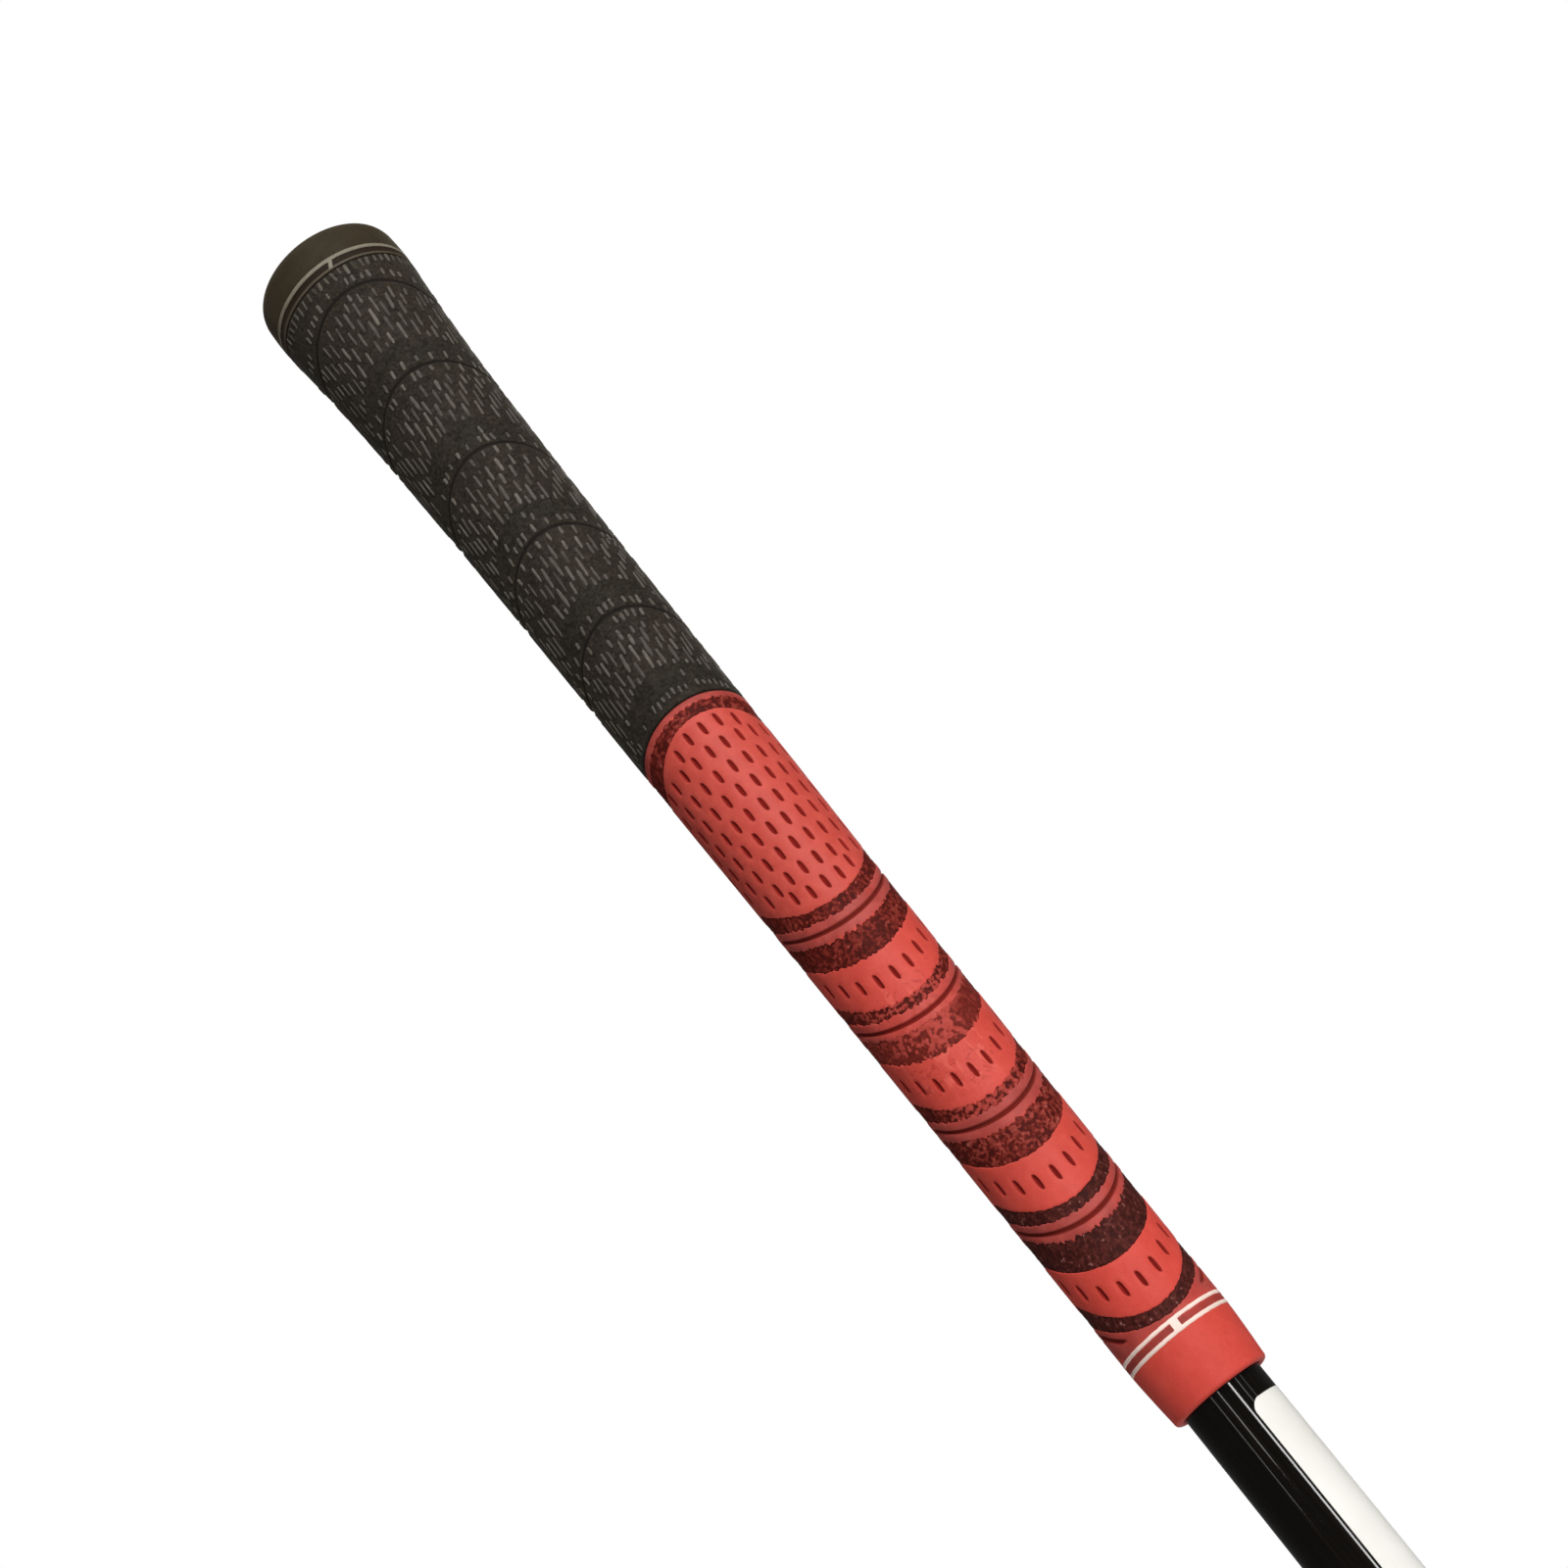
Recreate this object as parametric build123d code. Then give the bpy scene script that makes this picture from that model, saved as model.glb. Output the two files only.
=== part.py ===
from build123d import *
import os
from math import cos, sin, radians

# ---------------------------------------------------------------------------
# Slip-on golf grip, fitted on the butt section of a tubular shaft.
# Millimetres.  +Z runs up the grip to the butt cap, origin at the centre of
# the shaft's cut end, -Y is the front of the grip (the alignment-mark side).
# ---------------------------------------------------------------------------

# shaft
stub_len = 80.0            # bare shaft below the grip's mouth
shaft_r_tip = 7.05         # outer radius of the bare shaft, parallel
shaft_r_butt = 7.62        # outer radius at the butt end (0.600 in shaft)
bore_r = 5.90              # parallel bore, right through
# label flush in the shaft's coating
label_gap = 4.1            # from the mouth down to the label
label_len = 40.0
label_from, label_to = 17.0, 197.0   # degrees about Z from the front
label_t = 0.08
# double-sided tape
tape_t = 0.20
tape_start = 3.0           # above the mouth
tape_tuck = 12.0           # tail folded into the butt
# grip
grip_shaft_end = 261.5     # shaft's butt end above the mouth
cap_seat = 254.6           # lower edge of the butt cap
cap_spigot_r = 12.6        # core's head, inside the cap
cap_spigot_top = 258.2
cap_top = 266.6            # overall grip length
cap_flat_r = 2.4
vent_r = 1.75              # vent hole in the cap
cover_t = 1.10             # outer compounds over the core
skin_t = 0.65              # black skin over the cord fabric
recess_t = 0.30            # moulded recess of the rough bands
fill_t = 0.20              # rough fill in that recess
groove_w, groove_d = 0.85, 0.45
cord_groove_w, cord_groove_d = 0.55, 0.40
paint_t = 0.15
pattern_turn = 8.0         # degrees the pattern sits off the front

# outer radius against height above the mouth
outer_pts = [(0.70, 8.72), (3.0, 8.92), (5.7, 9.12), (8.6, 9.30), (12.0, 9.38),
             (20.0, 9.42), (35.0, 9.56), (55.0, 9.76), (75.0, 10.02),
             (100.0, 10.34), (125.0, 10.78), (150.0, 11.14), (175.0, 11.52),
             (195.0, 11.88), (212.0, 12.33), (226.0, 12.80), (238.0, 13.40),
             (247.0, 14.10), (254.6, 14.68)]
cap_pts = [(254.6, 14.68), (257.4, 14.84), (260.28, 14.86), (262.77, 14.76),
           (263.75, 14.51), (264.40, 14.07), (264.84, 13.42), (265.10, 12.45),
           (265.30, 9.97), (265.85, 6.2), (cap_top, cap_flat_r)]
lip_r = 0.70               # round on the mouth's outer edge

# Rough bands that cross the lower compound.  Each runs round the grip as an
# arc: lower edge height at the front and how far it sweeps by the side, then
# the same for the upper edge.
bands = [(12.9, 7.5, 15.0, 9.9), (24.0, 8.6, 30.0, 7.8), (33.2, 7.8, 35.5, 9.4),
         (44.7, 8.8, 50.6, 7.9), (54.3, 8.0, 56.1, 9.4), (66.2, 8.8, 71.4, 7.9),
         (75.0, 8.0, 76.8, 9.4), (85.8, 9.0, 91.3, 8.2), (95.3, 7.9, 97.6, 9.4),
         (138.8, -6.8, 141.0, -4.6)]
# groove centre heights and sweep; the first is cut short by the collar
red_grooves = [(10.9, 7.6), (31.5, 7.6), (52.3, 7.6), (72.9, 7.6), (93.3, 7.6)]
collar_top = 13.0
joint_z, joint_sweep = 142.1, -3.2     # lower compound meets the cord section
cord_grooves = [163.8, 184.7, 206.0, 227.6, 249.3]
cord_sweep = -9.2
# windows where the skin is ground through to the cord fabric (front heights)
windows = [(150.2, 159.6), (170.5, 181.0), (191.4, 202.0), (213.0, 223.4),
           (234.6, 246.8)]
window_bridge = 2.4        # skin left whole along each side's mould line
# painted rings
collar_rings = [(9.6, 10.45), (11.45, 12.3)]
collar_bar_w, collar_bar_at = 1.40, 6.0
cap_rings = [(254.85, 255.35), (256.6, 257.5)]
cap_bar_w, cap_bar_at = 0.80, 10.5


def up(z):
    return z + stub_len


def shaft_r(z):
    return shaft_r_tip + (shaft_r_butt - shaft_r_tip) * z / grip_shaft_end


def r_at(z):
    for (z0, r0), (z1, r1) in zip(outer_pts, outer_pts[1:]):
        if z0 <= z <= z1:
            return r0 + (r1 - r0) * (z - z0) / (z1 - z0)
    return outer_pts[0][1] if z < outer_pts[0][0] else outer_pts[-1][1]


def outline(points):
    """Smooth line through (height above mouth, radius) points."""
    return Spline(*[(r, up(z)) for z, r in points])


def turned(edges):
    """Closed profile in the XZ plane turned about Z."""
    return revolve(Plane.XZ * make_face(edges), Axis.Z, 360)


def poly(points):
    return Polyline(*[(r, up(z)) for z, r in points])


def shell(depth_out, depth_in):
    """Full-length shell between two depths under the outer surface."""
    o = [(z, r - depth_out) for z, r in outer_pts]
    i = [(z, r - depth_in) for z, r in outer_pts]
    a, b = outline(o), outline(i)
    return turned([a, Line(a @ 1, b @ 1), b, Line(b @ 0, a @ 0)])


def ring_zone(z0, z1, w=40.0):
    return Pos(0, 0, (up(z0) + up(z1)) / 2) * Box(w, w, z1 - z0)


def sweep_line(z0, a, r, side=22.0, round_r=4.0):
    """One edge of an arc band: level z0 at the front and back, a higher at
    the two sides, seen along X."""
    def at(y):
        return up(z0 + a * (1 - abs(y) / r))
    return FilletPolyline((-side, at(side)), (0, at(0)), (side, at(side)),
                          radius=round_r)


def chevron(z_lo, a_lo, z_hi, a_hi, round_r=4.0):
    r = r_at(0.5 * (z_lo + z_hi))
    lo = sweep_line(z_lo, a_lo, r, round_r=round_r)
    hi = sweep_line(z_hi, a_hi, r, round_r=round_r)
    face = make_face([*lo.edges(), *hi.edges(), Line(lo @ 0, hi @ 0), Line(lo @ 1, hi @ 1)])
    body = extrude(Plane.YZ * face, amount=22, both=True)
    return Rot(0, 0, pattern_turn) * body


def groove_tool(z, a, w, d):
    """Channel of even width along an arc, cut d deep."""
    return chevron(z - w / 2, a, z + w / 2, a) & shell(-0.6, d)


os.makedirs("parts", exist_ok=True)
made = {}


def keep(name, thing):
    solids = thing.solids() if hasattr(thing, "solids") else [thing]
    solids = [s for s in solids if s.volume > 1e-4]
    out = solids[0] if len(solids) == 1 else Compound(children=list(solids))
    out.label = name
    made[name] = out
    export_step(out, f"parts/{name}.step")
    print(name, len(solids), round(sum(s.volume for s in solids), 2))


# --- shaft ------------------------------------------------------------------
shaft = turned(Polyline((bore_r, 0), (shaft_r_tip, 0), (shaft_r_tip, up(0)),
                        (shaft_r_butt, up(grip_shaft_end)),
                        (bore_r, up(grip_shaft_end)), close=True).edges())
label_ring = turned(Polyline((shaft_r_tip - label_t, up(-label_gap - label_len)),
                             (shaft_r_tip, up(-label_gap - label_len)),
                             (shaft_r_tip, up(-label_gap)),
                             (shaft_r_tip - label_t, up(-label_gap)),
                             close=True).edges())
# half-space on the label's side; azimuth is from -Y towards +X
label_mid = 0.5 * (label_from + label_to)
half = Rot(0, 0, label_mid) * Pos(0, -20, up(-label_gap - label_len / 2)) * Box(80, 40, label_len + 4)
label = label_ring & half
shaft = shaft - label
keep("shaft_tube", shaft)
keep("shaft_label", label)

# --- tape -------------------------------------------------------------------
zt, ze = tape_start, grip_shaft_end
tuck = grip_shaft_end - tape_tuck
tape = turned(Polyline((shaft_r(zt), up(zt)), (shaft_r(zt) + tape_t, up(zt)),
                       (shaft_r_butt + tape_t, up(ze)),
                       (shaft_r_butt + tape_t, up(ze + tape_t)),
                       (bore_r - tape_t, up(ze + tape_t)),
                       (bore_r - tape_t, up(tuck)), (bore_r, up(tuck)),
                       (bore_r, up(ze)), (shaft_r_butt, up(ze)),
                       close=True).edges())
keep("grip_tape", tape)

# --- rubber core ------------------------------------------------------------
# its outside is the shell's inner surface, from the tape's start up
core_line = outline([(z, r - cover_t) for z, r in outer_pts])
z_foot = outer_pts[0][0]
core = turned([core_line,
               Polyline(core_line @ 1, (cap_spigot_r, up(cap_seat)),
                        (cap_spigot_r, up(cap_spigot_top)),
                        (shaft_r(cap_spigot_top) + tape_t, up(cap_spigot_top)),
                        (shaft_r(z_foot) + tape_t, up(z_foot)),
                        core_line @ 0)])
core = core - ring_zone(-2.0, tape_start)
keep("core_sleeve", core)

# --- outer compounds --------------------------------------------------------
split = chevron(-60.0, joint_sweep, joint_z, joint_sweep)
z_lip, r_lip = outer_pts[0]
mid_r = r_at(tape_start) - 0.5 * cover_t
mouth = turned([RadiusArc((r_lip - lip_r, up(0)), (r_lip, up(z_lip)), -lip_r * 1.02),
                Polyline((r_lip, up(z_lip)), (mid_r, up(z_lip)), (mid_r, up(tape_start)),
                         (shaft_r(tape_start), up(tape_start)), (shaft_r_tip, up(0)),
                         (r_lip - lip_r, up(0)))])
lower = (shell(0.0, cover_t) & split) + mouth

# rough bands
fill_shell = shell(recess_t - fill_t, recess_t)
for k, (zl, al, zh, ah) in enumerate(bands, 1):
    tool = chevron(zl, al, zh, ah)
    fill = fill_shell & tool
    lower = lower - (shell(-0.6, recess_t) & tool)
    keep(f"band_fill_{k:02d}", fill)

# grooves between the bands
for z, a in red_grooves:
    tool = groove_tool(z, a, groove_w, groove_d)
    if z < collar_top:
        tool = tool & ring_zone(collar_top, 30)
    lower = lower - tool

# painted rings of the collar
ring_shell = shell(0.0, paint_t)
rings = [ring_zone(a, b) for a, b in collar_rings]
bar = Rot(0, 0, collar_bar_at) * Pos(0, -10, up((collar_rings[0][0] + collar_rings[1][1]) / 2)) * \
    Box(collar_bar_w, 20, collar_rings[1][1] - collar_rings[0][0])
paint = ring_shell & (rings[0] + rings[1] + bar)
lower = lower - paint
keep("collar_ring_paint", paint)
keep("lower_sleeve", lower)

# cord section: black skin, and the cord fabric that shows through its windows
fabric_zone = shell(skin_t, cover_t) - split
skin = shell(0.0, skin_t) - split
pads = []
bridge = Rot(0, 0, pattern_turn) * Pos(0, 0, up(200)) * Box(60, window_bridge, 160)
for zl, zh in windows:
    tool = chevron(zl, cord_sweep, zh, cord_sweep) - bridge
    pads.append(shell(0.0, skin_t) & tool)
    skin = skin - (shell(-0.6, skin_t) & tool)
fabric = fabric_zone
for p in pads:
    fabric = fabric + p
for z in cord_grooves:
    skin = skin - groove_tool(z, cord_sweep, cord_groove_w, cord_groove_d)
keep("cord_fabric", fabric)
keep("cord_skin", skin)

# --- butt cap ---------------------------------------------------------------
cap_line = outline(cap_pts)
cap = turned([cap_line,
              Polyline(cap_line @ 1, (vent_r, up(cap_top)), (vent_r, up(ze + tape_t)),
                       (shaft_r_butt + tape_t, up(ze + tape_t)),
                       (shaft_r_butt + tape_t, up(ze)),
                       (shaft_r(cap_spigot_top) + tape_t, up(cap_spigot_top)),
                       (cap_spigot_r, up(cap_spigot_top)),
                       (cap_spigot_r, up(cap_seat)), cap_line @ 0)])
# painted rings and tick, let into the cap
cap_skin = cap - turned([outline([(z, r - paint_t) for z, r in cap_pts[:9]]),
                         Polyline((cap_pts[8][1] - paint_t, up(cap_pts[8][0])),
                                  (0, up(cap_pts[8][0])), (0, up(cap_seat)),
                                  (cap_pts[0][1] - paint_t, up(cap_seat)))])
rings = [ring_zone(a, b) for a, b in cap_rings]
tick = Rot(0, 0, cap_bar_at) * Pos(0, -10, up((cap_rings[0][0] + cap_rings[1][1]) / 2)) * \
    Box(cap_bar_w, 20, cap_rings[1][1] - cap_rings[0][0])
cap_paint = cap_skin & (rings[0] + rings[1] + tick)
cap = cap - cap_paint
keep("cap_ring_paint", cap_paint)
keep("butt_cap", cap)
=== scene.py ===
import math

import bpy
import numpy as np
from mathutils import Matrix, Vector
from mathutils.geometry import delaunay_2d_cdt


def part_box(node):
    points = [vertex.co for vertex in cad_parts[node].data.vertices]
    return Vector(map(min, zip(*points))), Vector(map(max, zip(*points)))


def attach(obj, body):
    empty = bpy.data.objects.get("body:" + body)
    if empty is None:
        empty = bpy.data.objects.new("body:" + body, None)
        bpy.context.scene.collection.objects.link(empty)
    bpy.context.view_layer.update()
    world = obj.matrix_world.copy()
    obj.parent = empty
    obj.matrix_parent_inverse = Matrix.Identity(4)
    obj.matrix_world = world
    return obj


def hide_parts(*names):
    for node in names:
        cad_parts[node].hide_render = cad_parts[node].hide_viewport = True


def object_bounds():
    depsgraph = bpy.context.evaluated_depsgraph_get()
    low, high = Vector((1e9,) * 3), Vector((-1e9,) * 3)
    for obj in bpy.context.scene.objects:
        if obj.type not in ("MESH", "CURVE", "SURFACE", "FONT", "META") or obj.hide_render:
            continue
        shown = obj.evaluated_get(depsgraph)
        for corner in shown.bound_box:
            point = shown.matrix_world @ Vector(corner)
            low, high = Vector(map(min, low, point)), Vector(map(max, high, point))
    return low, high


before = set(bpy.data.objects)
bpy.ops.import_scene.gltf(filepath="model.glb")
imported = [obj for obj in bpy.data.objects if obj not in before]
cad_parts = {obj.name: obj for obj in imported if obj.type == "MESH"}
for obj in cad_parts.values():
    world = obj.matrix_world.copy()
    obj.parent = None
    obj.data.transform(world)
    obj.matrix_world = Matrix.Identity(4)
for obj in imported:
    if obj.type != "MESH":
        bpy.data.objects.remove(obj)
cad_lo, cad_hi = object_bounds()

# ---------------------------------------------------------------------------
# Slip-on golf grip on the butt section of a shaft.  All shapes are worked out
# in millimetres above the grip's mouth and written in metres in the CAD frame.
# psi is the angle round the grip from the middle of its moulded pattern.
# ---------------------------------------------------------------------------
MM = 0.001
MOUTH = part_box("lower_sleeve")[0].z          # height of the mouth in the frame
PATTERN = math.radians(8.0)                  # pattern's turn towards +X
RM = 10.0                                    # radius that unrolls angles to mm
TURN = 2 * math.pi * RM
COVER = 1.10                                 # outer compounds over the core


# --- camera ------------------------------------------------------------------
def make_camera():
    data = bpy.data.cameras.new("camera")
    data.lens, data.sensor_width, data.sensor_fit = 56.71, 36.0, "HORIZONTAL"
    data.clip_start, data.clip_end = 0.01, 50.0
    cam = bpy.data.objects.new("camera", data)
    bpy.context.scene.collection.objects.link(cam)
    yaw, pitch, roll = (math.radians(a) for a in (1.017, 22.716, -39.242))
    fwd = Vector((math.sin(yaw) * math.cos(pitch), math.cos(yaw) * math.cos(pitch), math.sin(pitch)))
    right0 = fwd.cross(Vector((0, 0, 1))).normalized()
    up0 = right0.cross(fwd)
    right = right0 * math.cos(roll) + up0 * math.sin(roll)
    up = -right0 * math.sin(roll) + up0 * math.cos(roll)
    m = Matrix((right, up, -fwd)).transposed().to_4x4()
    m.translation = Vector((0.0, -0.38893, MOUTH - 0.03983))
    cam.matrix_world = m
    bpy.context.scene.camera = cam


make_camera()


# --- small numeric tools -----------------------------------------------------
def cubic(xs, ys):
    """Natural cubic spline through the points."""
    xs, ys = np.array(xs, float), np.array(ys, float)
    n, h = len(xs), np.diff(xs)
    a, b = np.zeros((n, n)), np.zeros(n)
    a[0, 0] = a[-1, -1] = 1
    for i in range(1, n - 1):
        a[i, i - 1], a[i, i], a[i, i + 1] = h[i - 1], 2 * (h[i - 1] + h[i]), h[i]
        b[i] = 6 * ((ys[i + 1] - ys[i]) / h[i] - (ys[i] - ys[i - 1]) / h[i - 1])
    m = np.linalg.solve(a, b)

    def f(x):
        x = np.clip(np.asarray(x, float), xs[0], xs[-1])
        i = np.clip(np.searchsorted(xs, x) - 1, 0, n - 2)
        t0, t1, hh = xs[i + 1] - x, x - xs[i], h[i]
        return (m[i] * t0**3 + m[i + 1] * t1**3) / (6 * hh) + (ys[i] / hh - m[i] * hh / 6) * t0 + (
            ys[i + 1] / hh - m[i + 1] * hh / 6) * t1
    return f


def chance(i, j, k):
    """Repeatable random numbers from 0 to 1 for whole-number grids."""
    i, j = np.asarray(i, np.int64), np.asarray(j, np.int64)
    h = (i * 374761393 + j * 668265263 + int(k) * 974634777) & 0xFFFFFFFF
    h = ((h ^ (h >> 13)) * 1274126177) & 0xFFFFFFFF
    h = ((h ^ (h >> 16)) * 2246822519) & 0xFFFFFFFF
    return ((h ^ (h >> 15)) & 0xFFFFFF) / float(0x1000000)


def swell(s, z, cell, seed, tall=1.0):
    """Smooth noise from -1 to 1 on the unrolled surface, closed round the turn."""
    n = max(1, int(round(TURN / cell)))
    x, y = np.mod(np.asarray(s) / TURN, 1.0) * n, np.asarray(z) / (cell * tall)
    i, j = np.floor(x).astype(np.int64), np.floor(y).astype(np.int64)
    fx, fy = x - i, y - j
    fx, fy = fx * fx * (3 - 2 * fx), fy * fy * (3 - 2 * fy)
    c = [[chance((i + a) % n, j + b, seed) for b in (0, 1)] for a in (0, 1)]
    v = (c[0][0] * (1 - fx) + c[1][0] * fx) * (1 - fy) + (c[0][1] * (1 - fx) + c[1][1] * fx) * fy
    return 2 * v - 1


def grains(s, z, cell, seed, tall=1.0):
    """Cell noise: distance to the nearest and second grain, and the grain's number."""
    n = max(3, int(round(TURN / cell)))
    x, y = np.mod(np.asarray(s) / TURN, 1.0) * n, np.asarray(z) / (cell * tall)
    i, j = np.floor(x).astype(np.int64), np.floor(y).astype(np.int64)
    d1 = np.full(x.shape, 9.0)
    d2 = np.full(x.shape, 9.0)
    who = np.zeros(x.shape)
    for a in (-1, 0, 1):
        for b in (-1, 0, 1):
            ci, cj = i + a, j + b
            w = ci % n
            px = ci + 0.5 + 0.42 * (2 * chance(w, cj, seed) - 1)
            py = cj + 0.5 + 0.42 * (2 * chance(w, cj, seed + 1) - 1)
            d = np.hypot(x - px, y - py)
            r = chance(w, cj, seed + 2)
            near = d < d1
            d2 = np.where(near, d1, np.minimum(d2, d))
            who = np.where(near, r, who)
            d1 = np.where(near, d, d1)
    return d1, d2, who


def lobes(s, cell, seed):
    """Row of rounded lumps from 0 to 1 along the turn, for ragged edges."""
    n = max(3, int(round(TURN / cell)))
    x = np.mod(np.asarray(s, float) / TURN, 1.0) * n
    i = np.floor(x).astype(np.int64)
    best = np.zeros(x.shape)
    for a in (-1, 0, 1):
        w = (i + a) % n
        c = i + a + 0.5 + 0.36 * (2 * chance(w, 0, seed) - 1)
        wide = 0.40 + 0.28 * chance(w, 1, seed)
        tall = 0.25 + 0.75 * chance(w, 2, seed)
        best = np.maximum(best, tall * np.sqrt(np.clip(1 - ((x - c) / wide) ** 2, 0, None)))
    return best


def step(x, a, b):
    t = np.clip((np.asarray(x, float) - a) / (b - a), 0, 1)
    return t * t * (3 - 2 * t)


# --- the grip's outer shape ----------------------------------------------------
OUTER = cubic(*zip((0.70, 8.72), (3.0, 8.92), (5.7, 9.12), (8.6, 9.30), (12.0, 9.38),
                   (20.0, 9.42), (35.0, 9.56), (55.0, 9.76), (75.0, 10.02), (100.0, 10.34),
                   (125.0, 10.78), (150.0, 11.14), (175.0, 11.52), (195.0, 11.88),
                   (212.0, 12.33), (226.0, 12.80), (238.0, 13.40), (247.0, 14.10), (254.6, 14.68)))
E2 = 0.12**2


def lean(psi):
    """How far an arc has swept: 0 at the front and back, most at the sides."""
    return math.sqrt(1 + E2) - np.sqrt(np.cos(psi) ** 2 + E2)


SWEEP = [(12.35, 0), (12.9, 7.5), (15.0, 9.9), (24, 8.6), (30, 7.8), (31.5, 7.6), (33.2, 7.8),
         (35.5, 9.4), (44.7, 8.8), (50.6, 7.9), (52.3, 7.6), (54.3, 8.0), (56.1, 9.4), (66.2, 8.8),
         (71.4, 7.9), (72.9, 7.6), (75, 8.0), (76.8, 9.4), (85.8, 9.0), (91.3, 8.2), (93.3, 7.6),
         (95.3, 7.9), (97.6, 9.4), (138.8, -6.8), (141.0, -4.6), (142.1, -3.2), (150, -9.2),
         (249.3, -9.2), (254.6, 0)]
SW_Z, SW_A = np.array(SWEEP, float).T


def height(zeta, psi):
    """Height above the mouth of the arc that starts at height zeta in front."""
    return zeta + np.interp(zeta, SW_Z, SW_A) * lean(psi)


TAB_Z = np.arange(12.35, 254.6, 0.05)


def front(z, psi):
    """The arc's height in front for a point at height z: height() turned round."""
    z, psi = np.broadcast_arrays(np.asarray(z, float), np.asarray(psi, float))
    lo, hi = np.full(z.shape, 12.35), np.full(z.shape, 254.6)
    for _ in range(26):
        mid = (lo + hi) / 2
        above = height(mid, psi) > z
        hi, lo = np.where(above, mid, hi), np.where(above, lo, mid)
    return (lo + hi) / 2


def place(s, z, r):
    """Points from unrolled coordinates to metres."""
    a = np.asarray(s) / RM + PATTERN
    return np.stack([r * np.sin(a) * MM, -r * np.cos(a) * MM, np.asarray(z) * MM + MOUTH], -1)


# --- mesh building -------------------------------------------------------------
def add_mesh(name, co, faces, mats, face_mat=None, attrs=None, uv=None, replaces=(), slot=None):
    me = bpy.data.meshes.new(name)
    me.from_pydata(np.asarray(co, float).tolist(), [], [tuple(int(i) for i in f) for f in faces])
    me.update()
    for m in mats:
        me.materials.append(m)
    me.polygons.foreach_set("use_smooth", np.ones(len(me.polygons), bool))
    if face_mat is not None:
        me.polygons.foreach_set("material_index", np.asarray(face_mat, np.int32))
    for key, value in (attrs or {}).items():
        me.attributes.new(key, "FLOAT", "POINT").data.foreach_set("value", np.asarray(value, np.float32))
    if uv is not None:
        loops = np.zeros(len(me.loops), np.int32)
        me.loops.foreach_get("vertex_index", loops)
        start = np.zeros(len(me.polygons), np.int32)
        size = np.zeros(len(me.polygons), np.int32)
        me.polygons.foreach_get("loop_start", start)
        me.polygons.foreach_get("loop_total", size)
        face_of = np.repeat(np.arange(len(me.polygons)), size)
        u, v = uv[0][loops].copy(), uv[1][loops].copy()
        # faces that cross the seam keep to the left side of the map
        big = np.full(len(me.polygons), -9.0)
        np.maximum.at(big, face_of, u)
        small = np.full(len(me.polygons), 9.0)
        np.minimum.at(small, face_of, u)
        crossing = (big - small > 0.5)[face_of]
        u = np.where(crossing & (u < 0.5), u + 1.0, u)
        inner = uv[2][face_of] if len(uv) > 2 else np.zeros(len(u), bool)
        v = np.where(inner, 0.002 + 0.04 * v, 0.05 + 0.945 * v)
        u = 0.002 + 0.965 * u
        layer = me.uv_layers.new(name="OFBake")
        layer.data.foreach_set("uv", np.stack([u, v], -1).astype(np.float32).ravel())
    me.validate()
    ob = bpy.data.objects.new(name, me)
    bpy.context.scene.collection.objects.link(ob)
    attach(ob, "root")
    if replaces:
        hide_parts(*replaces)
    return ob


def turn_profile(name, profile, mats, seg=192, sharp=(), **kw):
    """Closed (radius, height) profile turned round the axis. Heights are above the mouth."""
    n = len(profile)
    a = np.linspace(0, 2 * np.pi, seg, endpoint=False)
    pr = np.array(profile, float)
    s = np.repeat(a * RM, n)
    co = place(s, np.tile(pr[:, 1], seg), np.tile(pr[:, 0], seg))
    faces = [(i * n + j, ((i + 1) % seg) * n + j, ((i + 1) % seg) * n + (j + 1) % n, i * n + (j + 1) % n)
             for i in range(seg) for j in range(n)]
    run = np.concatenate([[0], np.cumsum(np.hypot(*np.diff(pr, axis=0).T))])
    uv = (np.tile(np.zeros(1), seg * n) + np.repeat(a / (2 * np.pi), n), np.tile(run / (run[-1] + 0.5), seg))
    ob = add_mesh(name, co, faces, mats, uv=uv, **kw)
    return ob


def arc(cx, cy, r, a0, a1, n):
    return [(cx + r * math.cos(math.radians(a)), cy + r * math.sin(math.radians(a)))
            for a in np.linspace(a0, a1, n)]


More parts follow.
